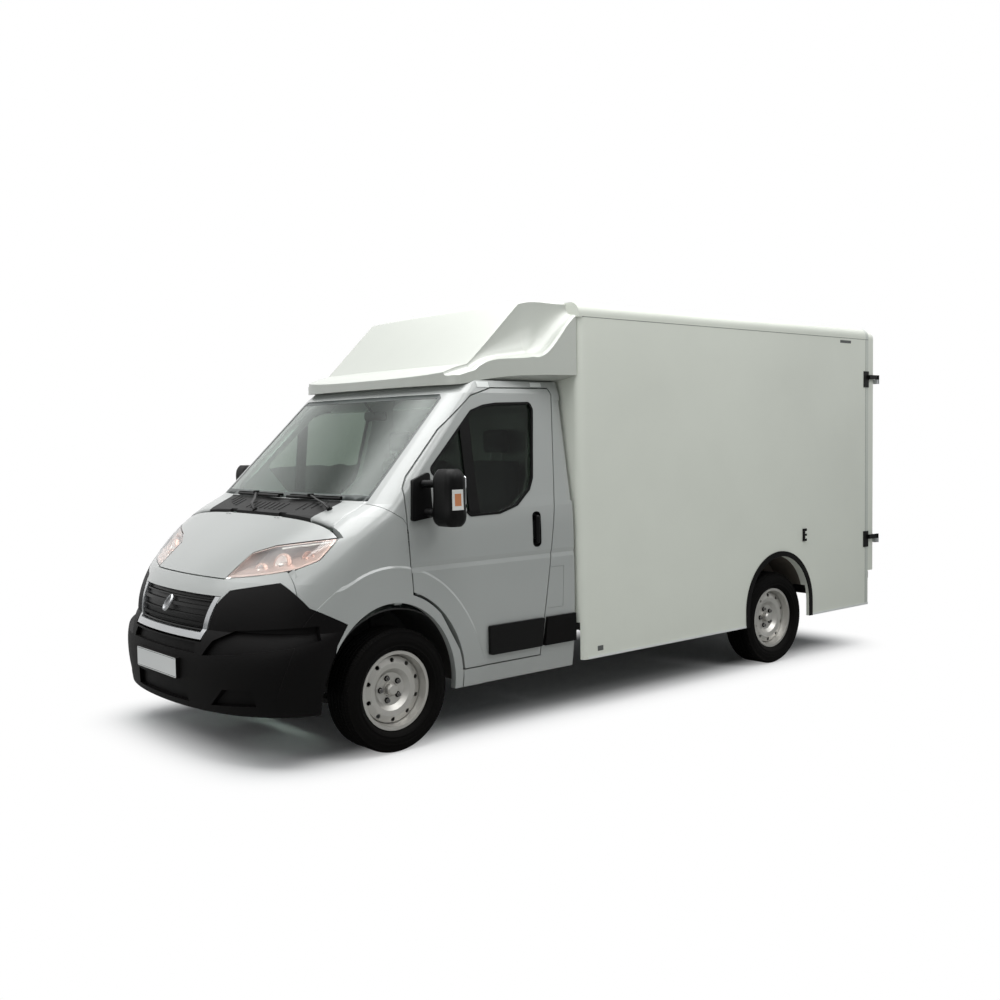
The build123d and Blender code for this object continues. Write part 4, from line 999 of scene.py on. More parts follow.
@dataclass
class HeadLamp:
    """Reflector bowls with a painted reflection, bulbs, bezels, indicator and a pale brow painted as a highlight,
    behind one lens, and the plate at its lower corner.

    Bowls and indicator are given as distance from the centre plane, height and radius, sections as (axial, radius).
    """

    side: int
    bowls: Sequence[Point] = ((0.585, 1.058, 0.036), (0.700, 1.094, 0.054))
    indicator: Point = (0.835, 1.128, 0.044)
    sink: float = 0.050
    face_turn: Point = (0.1, -1.4, -0.1)
    # Half section of a bowl, outside then inside: axial place, share of the radius, more radius.
    bowl: Sequence[Point] = ((-0.030, 0.0, 0.0), (-0.030, 0.0, 0.010), (-0.022, 0.62, 0.0), (-0.006, 0.9, 0.0),
                             (0.008, 1.0, 0.0), (0.008, 1.0, -0.002), (-0.005, 0.9, -0.002), (-0.020, 0.62, -0.002),
                             (-0.027, 0.0, 0.008), (-0.027, 0.0, 0.0))
    bulb: Profile = ((-0.010, 0.0), (-0.010, 0.010), (0.016, 0.010), (0.024, 0.006), (0.026, 0.0))
    small_bulb: Profile = ((-0.01, 0.0), (-0.01, 0.009), (0.014, 0.009), (0.02, 0.0))
    bezel: Profile = ((0.006, 0.0), (0.013, 0.001), (0.012, 0.009), (-0.006, 0.013), (-0.006, 0.0))
    brow_span: Pair = (0.640, 0.925)
    brow_steps: int = 12
    brow_section: Pair = (0.010, 0.009)
    brow_sink: float = 0.010
    brow_drop: float = 0.008
    search_top: float = 1.230
    search_step: float = 0.004
    search_count: int = 70
    corner: Sequence[Point] = ((0.808, -0.562, 1.024), (0.861, -0.564, 0.982), (0.876, -0.536, 1.020),
                               (0.842, -0.534, 1.052))
    corner_thickness: float = 0.0015

    def build(self, shop: Workshop) -> None:
        """Makes the lamp's inside and closes its lower corner."""
        lens = Surface(shop.frame, "headlamps")
        label = side_label(self.side)
        painted_reflection_bowls, bulbs, bezels = Shape(), Shape(), Shape()
        for x, z, radius in self.bowls:
            seat = self._seat(lens, x, z)
            painted_reflection_bowls.join(self._bowl(radius).aim(*seat))
            bulbs.join(Shape.lathe(self.bulb, 20, False).aim(*seat))
            bezels.join(Shape.lathe([(axial, radius + more) for axial, more in self.bezel], 56).aim(*seat))
        x, z, radius = self.indicator
        amber = self._bowl(radius).join(Shape.lathe(self.small_bulb, 16, False)).aim(*self._seat(lens, x, z))
        # Bowls: near-white diffuse colour, a painted reflection of the sky.
        for name, shape, finish in (("lamp_bowls_painted_reflection", painted_reflection_bowls, "lamp_chrome"), ("lamp_bulbs", bulbs, "white_lens"),
                                    ("lamp_bezels", bezels, "lamp_bronze"), ("indicator_bowl", amber, "lamp_copper"),
                                    ("lamp_brow_painted_highlight", self._brow(lens), "white_lens"),
                                    ("lamp_corner", self._corner(shop.layout), "cab_paint")):
            shop.place(shape, f"{name}_{label}", finish, "root")

    def _seat(self, lens: Surface, x: float, z: float) -> tuple[Vector, Vector]:
        """Finds the way a bowl faces and the centre of its mouth, behind the lens at x and z."""
        point, normal = lens.from_front(self.side * x, z)
        turn_x, turn_y, turn_z = self.face_turn
        face = (normal + Vector((self.side * turn_x, turn_y, turn_z))).normalized()
        return face, point - normal * self.sink

    def _bowl(self, radius: float) -> Shape:
        """Deep reflector that opens towards +X."""
        return Shape.lathe([(axial, share * radius + more) for axial, share, more in self.bowl], 56, False)

    def _brow(self, lens: Surface) -> Shape:
        """Pale strip just inside the lamp's upper edge, a painted highlight standing in for a bright metal strip."""
        path, (first, last) = [], self.brow_span
        for index in range(self.brow_steps + 1):
            x = first + (last - first) * index / self.brow_steps
            for step in range(self.search_count):
                found = lens.from_front(self.side * x, self.search_top - self.search_step * step)
                if found is not None:
                    path.append(found[0] - found[1] * self.brow_sink - Vector((0.0, 0.0, self.brow_drop)))
                    break
        # The pale colour is a painted highlight along the lens's upper edge.
        return Shape.sweep(path, *self.brow_section)

    def _corner(self, layout: Layout) -> Shape:
        """Plate over the open corner where lamp, front panel and fender meet."""
        shape = Shape()
        spots = layout.spots([(self.side * x, behind, z) for x, behind, z in self.corner])
        face = shape.mesh.faces.new([shape.mesh.verts.new(spot) for spot in spots])
        face.normal_update()
        bmesh.ops.solidify(shape.mesh, geom=[face], thickness=self.corner_thickness)
        return shape.clean()


@dataclass
class ScreenBorder:
    """Black printed band round the edge of the windscreen."""

    sides: float = 0.020
    bottom: float = 0.030
    top: float = 0.026
    lift: float = 0.0004
    low_corner: Pair = (0.846, 1.392)
    high_corner: Pair = (0.779, 1.961)

    def build(self, shop: Workshop) -> None:
        """Cuts the band out of a copy of the glass and floats it just off both faces."""
        shape = Shape.copy_of(shop.frame["nodes"]["windscreen"])
        low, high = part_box("windscreen")
        (x0, z0), (x1, z1) = self.low_corner, self.high_corner
        run = Vector((x1 - x0, 0.0, z1 - z0)).normalized()
        across = Vector((run.z, 0.0, -run.x))
        limits = [(Vector((0, 0, low.z + self.bottom)), Vector((0, 0, -1))),
                  (Vector((0, 0, high.z - self.top)), Vector((0, 0, 1)))]
        for side in (1.0, -1.0):
            limits.append((Vector((side * x0, 0, z0)) - Vector((side * across.x, 0, across.z)) * self.sides,
                           Vector((side * across.x, 0, across.z))))
        for place, outward in limits:
            shape.cut(place, outward)
        inside = [face for face in shape.mesh.faces
                  if all((face.calc_center_median() - place).dot(outward) < 0 for place, outward in limits)]
        bmesh.ops.delete(shape.mesh, geom=inside, context="FACES")
        shop.place(shape.float_off(self.lift), "screen_border_print", "glass_print", "root", smooth=50.0)


@dataclass
class Wiper:
    """One wiper: spindle cap, cranked arm and blade lying on the screen."""

    name: str
    spindle: tuple[float, float, float]
    blade_ends: tuple[Pair, Pair]
    steps: int = 14
    rubber_lift: float = 0.0055
    holder_lift: float = 0.0135
    knee_share: float = 0.22
    knee_rise: float = 0.030
    arm_rises: tuple[float, float, float] = (0.012, 0.004, 0.022)
    clip: tuple[Point, Point] = ((-0.012, -0.018, -0.008), (0.012, 0.018, 0.010))
    clip_rise: float = 0.018
    cap_ends: Pair = (-0.05, 0.006)

    def build(self, shop: Workshop) -> None:
        """Makes the wiper."""
        screen = Surface(shop.frame, "windscreen")
        path = []
        (xa, za), (xb, zb) = self.blade_ends
        for index in range(self.steps + 1):
            share = index / self.steps
            path.append(screen.from_front(xa + (xb - xa) * share, za + (zb - za) * share))
        rubber = Shape.sweep([point + normal * self.rubber_lift for point, normal in path], 0.006, 0.010, 6)
        holder = Shape.sweep([point + normal * self.holder_lift for point, normal in path], 0.015, 0.009)
        middle, normal = path[self.steps // 2 + 1]
        start = shop.layout.spot(*self.spindle)
        knee = start.lerp(middle, self.knee_share) + normal * self.knee_rise
        low, high, last = (normal * rise for rise in self.arm_rises)
        arm = Shape.sweep([start, start.lerp(knee, 0.5) + low, knee, knee.lerp(middle, 0.5) + high, middle + last],
                          0.024, 0.011, ends=0.55)
        clip = Shape.block(*self.clip, 0.004).move(*(middle + normal * self.clip_rise))
        cap = Shape.tube(*(start + normal * rise for rise in self.cap_ends), 0.019, 0.015, 20)
        shop.place(rubber.join(holder), f"{self.name}_blade", "soft_black", "root")
        shop.place(arm.join(clip, cap), f"{self.name}_arm", "satin_black", "root")


@dataclass
class Scuttle:
    """Louvres of the air intake below the windscreen."""

    count: int = 22
    half_width: float = 0.60
    spindle_gap: Pair = (0.25, 0.36)
    front: float = -0.262
    length: float = 0.075
    sweep_back: float = 0.12
    above: float = 2.0
    lift: float = 0.002
    bar: Pair = (0.010, 0.006)

    def build(self, shop: Workshop) -> None:
        """Lays the louvres on the scuttle panel."""
        panel = Surface(shop.frame, "scuttle")
        bars = Shape()
        for index in range(self.count):
            x = -self.half_width + 2 * self.half_width * index / (self.count - 1)
            if self.spindle_gap[0] < abs(x) < self.spindle_gap[1]:
                continue
            path = []
            for share in (0.0, 0.5, 1.0):
                behind = self.front + self.length * share + self.sweep_back * (x / self.half_width) ** 4
                found = panel.hit(shop.layout.spot(x, behind, self.above), Vector((0, 0, -1)))
                if found is not None:
                    path.append(found[0] + found[1] * self.lift)
            if len(path) == 3:
                bars.join(Shape.sweep(path, *self.bar, 6))
        shop.place(bars, "scuttle_louvres", "satin_black", "root")


@dataclass
class ScuttleEnds:
    """Painted corner panels at both ends of the scuttle, up to the screen pillars."""

    start: float = 0.640
    pivot: Pair = (-0.20, 1.35)
    slant: float = 0.20
    lift: float = 0.0007

    def build(self, shop: Workshop) -> None:
        """Cuts the ends out of a copy of the scuttle and floats them just off it."""
        for side in (1.0, -1.0):
            shape = Shape.copy_of(shop.frame["nodes"]["scuttle"])
            shape.cut(shop.layout.spot(side * self.start, *self.pivot),
                      Vector((side, -self.slant, 0.0)).normalized(), drop_inner=True)
            shop.place(shape.float_off(self.lift), f"scuttle_end_{side_label(side)}", "cab_paint", "root", smooth=50.0)


# ---------------------------------------------------------------- cab outside
@dataclass
class DoorMirror:
    """Glasses and turn indicator of one door mirror."""

    side: int
    axis_place: Pair = (1.161, 0.259)
    indicator_levels: Pair = (1.338, 1.450)
    indicator_angles: Pair = (62.0, 106.0)
    indicator_reach: float = 0.3
    # Name, finish, share left free at each edge, height over the housing, thickness.
    indicator_layers: tuple[tuple[str, str, float, float, float], ...] = (
        ("indicator_frame", "white_lens", 0.0, 0.0002, 0.0008), ("indicator_lamp", "lamp_amber", 0.2, 0.0010, 0.0004))
    glass_x: Pair = (1.094, 1.232)
    glass_behind: Pair = (0.3165, 0.3232)
    glass_levels: Profile = ((1.276, 1.352), (1.359, 1.522))

    def build(self, shop: Workshop) -> None:
        """Makes the mirror's glasses and its indicator."""
        label = side_label(self.side)
        body = f"cab_door_{label}"
        glasses = Shape()
        for levels in self.glass_levels:
            low, high = (shop.layout.spot(*place) for place in zip(self.glass_x, self.glass_behind, levels))
            glasses.join(Shape.slab(low, high, 1, 0.014, 0.0012))
        shell = Surface(shop.frame, f"door_fittings_{label}")
        parts = [(glasses.on_side(self.side), "mirror_glass", "mirror_glass")]
        for name, finish, inset, lift, depth in self.indicator_layers:
            lens = Shape.draped(shell, 8, 8, lambda u, v, inset=inset: self._ray(shop, u, v, inset), lift, depth)
            parts.append((lens, name, finish))
        for shape, name, finish in parts:
            shop.place(shape, f"{name}_{label}", finish, body)

    def _ray(self, shop: Workshop, u: float, v: float, inset: float) -> tuple[Vector, Vector]:
        """Ray towards the housing's upright axis.

        Args:
            shop: the workshop.
            u: share of the way round from the front to the outer side.
            v: share of the way up.
            inset: share of each span left free at both ends.

        Returns:
            The ray's origin and direction.
        """
        u, v = inset + u * (1 - 2 * inset), inset + v * (1 - 2 * inset)
        first, last = self.indicator_angles
        angle = math.radians(first + (last - first) * u)
        low, high = self.indicator_levels
        x, behind = self.axis_place
        centre = shop.layout.spot(self.side * x, behind, low + (high - low) * v)
        outward = Vector((self.side * math.sin(angle), -math.cos(angle), 0.0))
        return centre + outward * self.indicator_reach, -outward


@dataclass
class RoofCaps:
    """Pale covers over the fixings in the cab's roof rails."""

    spans: Profile = ((0.700, 0.790), (1.125, 1.215))
    levels: Pair = (2.028, 2.062)
    outside: float = 1.3
    lift: float = 0.0002
    thickness: float = 0.0035

    def build(self, shop: Workshop) -> None:
        """Lays the covers on both rails."""
        shell = Surface(shop.frame, "cab_body")
        covers, (low, high) = Shape(), self.levels
        for side in (1.0, -1.0):
            for first, last in self.spans:
                covers.join(Shape.draped(shell, 6, 4, lambda u, v: (
                    shop.layout.spot(side * self.outside, first + (last - first) * u, low + (high - low) * v),
                    Vector((-side, 0.0, 0.0))), self.lift, self.thickness))
        shop.place(covers, "roof_rail_covers", "cover_white", "root")


@dataclass
class DoorCard:
    """Moulded trim on the inside of one cab door, with its armrest and door pocket."""

    side: int
    span: Pair = (0.215, 1.030)
    levels: Pair = (0.470, 1.235)
    inside: float = 0.55
    lift: float = 0.0005
    depth: float = 0.010
    arch: Pair = (0.36, 0.62)
    rest: Sequence[Point] = ((0.872, 0.50, 0.985), (0.930, 0.86, 1.030))
    pocket: Sequence[Point] = ((0.885, 0.42, 0.520), (0.932, 0.95, 0.640))

    def build(self, shop: Workshop) -> None:
        """Lays the card on the door's inner skin."""
        label = side_label(self.side)
        skin = Surface(shop.frame, f"cab_door_{label}")
        low, high = self.levels
        card = Shape.draped(skin, 28, 26, lambda u, v: (
            shop.layout.spot(self.side * self.inside, self._behind(u, v), low + (high - low) * v),
            Vector((self.side, 0.0, 0.0))), self.lift, self.depth)
        rest, pocket = (Shape.block(*shop.layout.spots(corners), rounding, 3).on_side(self.side)
                        for corners, rounding in ((self.rest, 0.018), (self.pocket, 0.014)))
        shop.place(card, f"door_card_{label}", "cabin_trim", f"cab_door_{label}")
        shop.place(rest.join(pocket), f"door_armrest_{label}", "dash_plastic", f"cab_door_{label}")

    def _behind(self, u: float, v: float) -> float:
        """Place along the door, its front edge drawn back round the wheel arch."""
        first, last = self.span
        depth, top = self.arch
        start = first + depth * max(0.0, top - v)
        return start + (last - start) * u


# ---------------------------------------------------------------- load box
@dataclass
class BoxTrim:
    """Seam strips painted as the shade of their grooves, edge rails, markers and blank labels of the load box.

    Labels are given as first and last distance behind the front axle, then lowest and highest level.
    """

    proud: float = 0.0006
    seam: float = 0.0035
    upright_share: float = 0.7
    cap_height: float = 0.094
    seam_start: float = 0.03
    front_inset: float = 0.05
    rail_start: float = 0.055
    rail_height: float = 0.015
    rail_proud: float = 0.003
    labels: Sequence[Sequence[float]] = ((4.235, 4.385, 2.428, 2.450), (1.510, 1.560, 0.366, 0.398))
    label_proud: float = 0.001
    catch_slots: Profile = ((0.924, 0.944), (0.961, 0.981))
    catch_sink: float = 0.0004
    catch_depth: float = 0.021
    marker_x: float = 1.004
    marker_half: float = 0.013
    marker_depth: Pair = (-0.012, 0.002)
    marker_levels: Pair = (2.350, 2.404)

    def build(self, shop: Workshop) -> None:
        """Makes the trim on both sides."""
        low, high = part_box("box_side_walls")
        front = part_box("box_front_wall")[0].y
        frame_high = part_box("box_rear_frame")[1]
        arch_low, arch_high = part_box("arch_trims")
        catch_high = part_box("door_catches")[1]
        outer, back = high.x, frame_high.y
        seam_z, rail_z = frame_high.z - self.cap_height, low.z + self.rail_height
        seam_shade_strips, rails, labels, slots, markers = Shape(), Shape(), Shape(), Shape(), Shape()
        for side in (1.0, -1.0):
            # Dark strips along the cap seam and the rear upright seam: painted shade of their grooves.
            seam_shade_strips.join(self._strip(side, outer, front + self.seam_start, back, seam_z, seam_z + self.seam, self.proud),
                       self._strip(side, outer, high.y, high.y + self.seam * self.upright_share, low.z, seam_z,
                                   self.proud))
            rails.join(self._strip(side, outer, front + self.rail_start, arch_low.y, low.z, rail_z, self.rail_proud),
                       self._strip(side, outer, arch_high.y, back, low.z, rail_z, self.rail_proud))
            for y0, y1, z0, z1 in self.labels:
                first, last = (shop.layout.spot(0, y, 0).y for y in (y0, y1))
                labels.join(self._strip(side, outer, first, last, z0, z1, self.label_proud))
            for z0, z1 in self.catch_slots:
                slots.join(self._strip(side, catch_high.x - self.catch_sink, catch_high.y - self.catch_depth,
                                       catch_high.y, z0, z1, self.proud))
            (near, far), (z0, z1), middle = self.marker_depth, self.marker_levels, side * self.marker_x
            markers.join(Shape.block((middle - self.marker_half, front + near, z0),
                                     (middle + self.marker_half, front + far, z1), 0.005, 3))
        reach = outer - self.front_inset
        # Front strip along the cap seam: painted shade of its groove.
        seam_shade_strips.join(Shape.block((-reach, front - self.proud, seam_z), (reach, front, seam_z + self.seam)))
        for name, shape, finish in (("box_seam_painted_shade", seam_shade_strips, "seam_painted_shade"), ("box_bottom_rails", rails, "cover_white"),
                                    ("box_blank_labels", labels, "label_grey"), ("catch_slots", slots, "box_laminate"),
                                    ("box_corner_markers", markers, "white_lens")):
            shop.place(shape, name, finish, "root")

    @staticmethod
    def _strip(side: float, outer: float, y0: float, y1: float, z0: float, z1: float, proud: float) -> Shape:
        """Thin strip on one flank of the box."""
        x0, x1 = sorted((side * outer, side * (outer + proud)))
        return Shape.block((x0, y0, z0), (x1, y1, z1))


@dataclass
class RearLamp:
    """Three-colour rear lamp in a black base, fluted across."""

    side: int
    shares: tuple[tuple[str, float, float], ...] = (("red_lens", 0.0, 0.42), ("amber_lens", 0.44, 0.72),
                                                    ("white_lens", 0.74, 1.0))
    width: float = 0.230
    base_depth: float = 0.034
    lens_start: float = 0.030
    lens_sink: float = 0.003
    edge: float = 0.005
    flutes: int = 9
    flute_margin: float = 0.012
    flute_half: float = 0.0016
    flute_inset: float = 0.006
    flute_depth: Pair = (0.0035, 0.001)

    def build(self, shop: Workshop) -> None:
        """Makes the lamp in the space of its plain solid."""
        label = side_label(self.side)
        low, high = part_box("rear_lamps")
        inner = high.x - self.width
        base = Shape.slab((inner, low.y, low.z), (high.x, low.y + self.base_depth, high.z), 1, 0.012, 0.003)
        base_piece = shop.place(base.on_side(self.side), f"rear_lamp_base_{label}", "satin_black", "root")
        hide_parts("rear_lamps")
        start, span = inner + self.edge, high.x - inner - 2 * self.edge
        bottom, height = low.z + self.flute_margin, high.z - low.z - 2 * self.flute_margin
        sunk, proud = (high.y - depth for depth in self.flute_depth)
        for finish, first, last in self.shares:
            x0, x1 = start + span * first, start + span * last
            lens = Shape.slab((x0, low.y + self.lens_start, low.z + self.edge),
                              (x1, high.y - self.lens_sink, high.z - self.edge), 1, 0.007, 0.003)
            for index in range(self.flutes):
                z = bottom + height * index / (self.flutes - 1)
                lens.join(Shape.block((x0 + self.flute_inset, sunk, z - self.flute_half),
                                      (x1 - self.flute_inset, proud, z + self.flute_half), 0.001, 1))
            shop.place(lens.on_side(self.side), f"rear_{finish}_{label}", finish, "root")


@dataclass
class RearGasket:
    """Rubber strip that closes the gap between the rear leaves."""

    width: float = 0.006
    inset: float = 0.01
    sink: float = 0.004

    def build(self, shop: Workshop) -> None:
        """Makes the strip on the left leaf."""
        low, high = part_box("rear_door_left")
        strip = Shape.block((low.x - self.width, low.y + self.inset, low.z + self.inset),
                            (low.x, high.y - self.sink, high.z - self.inset), 0.002)
        shop.place(strip, "rear_leaf_gasket", "soft_black", "rear_door_left")


# ---------------------------------------------------------------- cabin
@dataclass
class SeatPad:
    """Stuffed seat part, blown up a little as cloth."""

    name: str
    low: Point
    high: Point
    lean: float = 0.0
    fill: float = 0.7
    cap: float = 0.012
    voxel: float = 0.014
    rounding: float = 0.045
    inset: float = 0.008
    pressure: float = 4.0
    frames: int = 20

    def build(self, shop: Workshop) -> bpy.types.Object:
        """Makes the pad and returns it."""
        low, high = shop.layout.spots((self.low, self.high))
        inset = Vector((self.inset,) * 3)
        limit = min(self.rounding, 0.45 * min(high - low))
        shape = Shape.block(low + inset, high - inset, limit, 4)
        if self.lean:
            for vert in shape.mesh.verts:
                vert.co.y += (vert.co.z - low.z) / (high.z - low.z) * self.lean
        piece = shop.place(shape, self.name, "seat_cloth", "root")
        self._remesh(piece)
        self._swell(piece)
        smooth = piece.modifiers.new("smooth", "SMOOTH")
        smooth.factor, smooth.iterations = 0.5, 3
        return piece

    def _remesh(self, piece: bpy.types.Object) -> None:
        """Gives the pad an even mesh."""
        remesh = piece.modifiers.new("remesh", "REMESH")
        remesh.mode, remesh.voxel_size = "VOXEL", self.voxel
        remesh.use_smooth_shade = True
        self._bake(piece)

    @staticmethod
    def _bake(piece: bpy.types.Object) -> None:
        """Turns the modifiers' result into the pad's own mesh."""
        graph = bpy.context.evaluated_depsgraph_get()
        graph.update()
        made = bpy.data.meshes.new_from_object(piece.evaluated_get(graph))
        material = piece.data.materials[0]
        piece.modifiers.clear()
        piece.data = made
        if not made.materials:
            made.materials.append(material)

    def _swell(self, piece: bpy.types.Object) -> None:
        """Blows the pad up as cloth under slight pressure, with a cap on how far it may go."""
        rest = [vert.co.copy() for vert in piece.data.vertices]
        cloth = piece.modifiers.new("cloth", "CLOTH")
        cloth.settings.use_pressure = True
        cloth.settings.uniform_pressure_force = self.pressure
        cloth.settings.effector_weights.gravity = 0.0
        cloth.settings.quality = 4
        cloth.point_cache.frame_start, cloth.point_cache.frame_end = 1, self.frames
        scene = bpy.context.scene
        for frame_number in range(1, self.frames + 1):
            scene.frame_set(frame_number)
        self._bake(piece)
        for vert, start in zip(piece.data.vertices, rest):
            step = vert.co - start
            if step.length > self.cap:
                vert.co = start + step.normalized() * self.cap
        scene.frame_set(1)


@dataclass
class Cabin:
    """Seats, dash fittings, mirror and visors of the cab."""

    cushion_y: Pair = (0.560, 1.080)
    cushion_z: Pair = (0.880, 1.014)
    back_y: Pair = (1.084, 1.196)
    back_top: float = 1.600
    back_lean: float = 0.070
    head_y: Pair = (1.180, 1.262)
    head_z: Pair = (1.618, 1.790)
    head_half: float = 0.128
    post_half: float = 0.055
    post_ends: Profile = ((1.212, 1.570), (1.222, 1.640))
    post_radius: float = 0.006
    places: tuple[tuple[str, float, float], ...] = (("driver", 0.185, 0.675), ("bench_inner", -0.452, -0.085),
                                                    ("bench_outer", -0.825, -0.458))
    # Each belt runs down one pillar: its place across, then its points as share of that, distance behind and level.
    belts: Pair = (0.80, -0.80)
    belt_path: Sequence[Point] = ((1.0, 1.270, 1.62), (0.99, 1.262, 1.20), (0.97, 1.250, 0.78))
    belt_section: Pair = (0.048, 0.003)
    hood: Sequence[Point] = ((0.235, 0.150, 1.285), (0.565, 0.335, 1.345))
    console: Sequence[Point] = ((-0.130, 0.335, 1.010), (0.130, 0.375, 1.262))
    shelf: Sequence[Point] = ((-0.800, 0.150, 1.286), (-0.190, 0.300, 1.312))
    display: Sequence[Point] = ((-0.092, 0.374, 1.122), (0.092, 0.377, 1.182))
    vents: tuple[float, ...] = (-0.790, -0.085, 0.085, 0.790)
    vent: Profile = ((0.0, 0.030), (0.0, 0.038), (0.008, 0.037), (0.008, 0.031), (0.002, 0.029), (0.002, 0.0),
                     (0.0, 0.0))
    knobs: tuple[float, ...] = (-0.07, 0.0, 0.07)
    knob: Profile = ((0.0, 0.020), (0.012, 0.018), (0.014, 0.0))
    lever: Sequence[Point] = ((0.055, 0.372, 1.035), (0.060, 0.430, 1.060), (0.062, 0.455, 1.120))
    lever_knob: Profile = ((0.0, 0.0), (0.004, 0.020), (0.030, 0.025), (0.050, 0.018), (0.056, 0.0))
    knob_place: Point = (0.062, 0.455, 1.105)
    knob_axis: Point = (0.0, 0.25, 1.0)
    visors: Profile = ((0.14, 0.60), (-0.60, -0.14))
    visor_half: Pair = (0.006, 0.075)
    visor_tilt: float = -52.0
    visor_place: Point = (0.0, 0.655, 1.955)
    mirror: Sequence[Point] = ((-0.120, 0.562, 1.845), (0.120, 0.578, 1.905))
    mirror_stem: Sequence[Point] = ((0.0, 0.562, 1.885), (0.0, 0.490, 1.962))

    def build(self, shop: Workshop) -> None:
        """Makes everything that shows through the glass."""
        self._seats(shop)
        self._dash(shop)
        self._overhead(shop)

    def _seats(self, shop: Workshop) -> None:
        """Driver's seat and the double bench beside it."""
        first = None
        (y0, y1), (z0, z1) = self.cushion_y, self.cushion_z
        for name, x0, x1 in self.places:
            pad = SeatPad(f"{name}_cushion", (x0, y0, z0), (x1, y1, z1)).build(shop)
            first = first or pad
            SeatPad(f"{name}_backrest", (x0, self.back_y[0], z0 + 0.01), (x1, self.back_y[1], self.back_top),
                    lean=self.back_lean).build(shop)
            middle = (x0 + x1) / 2
            SeatPad(f"{name}_headrest", (middle - self.head_half, self.head_y[0], self.head_z[0]),
                    (middle + self.head_half, self.head_y[1], self.head_z[1]), rounding=0.036, cap=0.006,
                    voxel=0.009).build(shop)
            posts = Shape()
            for x in (middle - self.post_half, middle + self.post_half):
                ends = shop.layout.spots([(x, *end) for end in self.post_ends])
                posts.join(Shape.tube(*ends, self.post_radius, sides=12))
            shop.place(posts, f"{name}_headrest_posts", "zinc_plate", "root")
        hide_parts("seats")
        belt = Shape()
        for x in self.belts:
            path = shop.layout.spots([(x * share, behind, level) for share, behind, level in self.belt_path])
            belt.join(Shape.sweep(path, *self.belt_section))
        shop.place(belt, "seat_belts", "belt_black", "root")

    def _dash(self, shop: Workshop) -> None:
        """Instrument hood, vents, middle console and gear lever."""
        spot, spots, back = shop.layout.spot, shop.layout.spots, Vector((0, 1, 0))
        hood = Shape.block(*spots(self.hood), 0.028, 4)
        console = Shape.slab(*spots(self.console), 1, 0.030, 0.006)
        shelf = Shape.block(*spots(self.shelf), 0.012, 3)
        shop.place(hood.join(console, shelf), "dash_mouldings", "dash_plastic", "root")
        vents = Shape()
        for x in self.vents:
            place = spot(x, 0.372 if abs(x) < 0.2 else 0.352, 1.225)
            vents.join(Shape.lathe(self.vent, 32, False).aim(back, place))
        for x in self.knobs:
            vents.join(Shape.lathe(self.knob, 24, False).aim(back, spot(x, 0.374, 1.085)))
        stick = Shape.sweep(spots(self.lever), 0.018, 0.018, 10)
        knob = Shape.lathe(self.lever_knob, 24, False)
        stick.join(knob.aim(Vector(self.knob_axis).normalized(), spot(*self.knob_place)))
        shop.place(vents, "dash_vents", "satin_black", "root")
        shop.place(stick, "gear_lever", "satin_black", "root")
        shop.place(Shape.slab(*spots(self.display), 1, 0.008), "dash_display", "display_black", "root")

    def _overhead(self, shop: Workshop) -> None:
        """Sun visors and the inside mirror."""
        spots = shop.layout.spots
        visors, (depth, height) = Shape(), self.visor_half
        for x0, x1 in self.visors:
            visor = Shape.slab(*spots(((x0, -depth, -height), (x1, depth, height))), 1, 0.030, 0.004)
            visors.join(visor.turn(self.visor_tilt, "X", shop.layout.spot(0, 0, 0)).move(*self.visor_place))
        shop.place(visors, "sun_visors", "cabin_trim", "root")
        mirror = Shape.slab(*spots(self.mirror), 1, 0.026, 0.004)
        shop.place(mirror.join(Shape.tube(*spots(self.mirror_stem), 0.007)), "inside_mirror", "satin_black", "root")


# ---------------------------------------------------------------- studio
@dataclass(frozen=True)
class PanelLight:
    """Square soft lamp: where it hangs, what it points at, its edge length and its watts."""

    name: str
    place: Point
    target: Point
    size: float
    power: float

    def build(self) -> None:
        """Adds the lamp."""
        data = bpy.data.lights.new(self.name, "AREA")
        data.size = self.size
        data.energy = self.power
        lamp = bpy.data.objects.new(self.name, data)
        lamp.location = self.place
        lamp.rotation_euler = (Vector(self.target) - Vector(self.place)).to_track_quat("-Z", "Y").to_euler()
        bpy.context.scene.collection.objects.link(lamp)


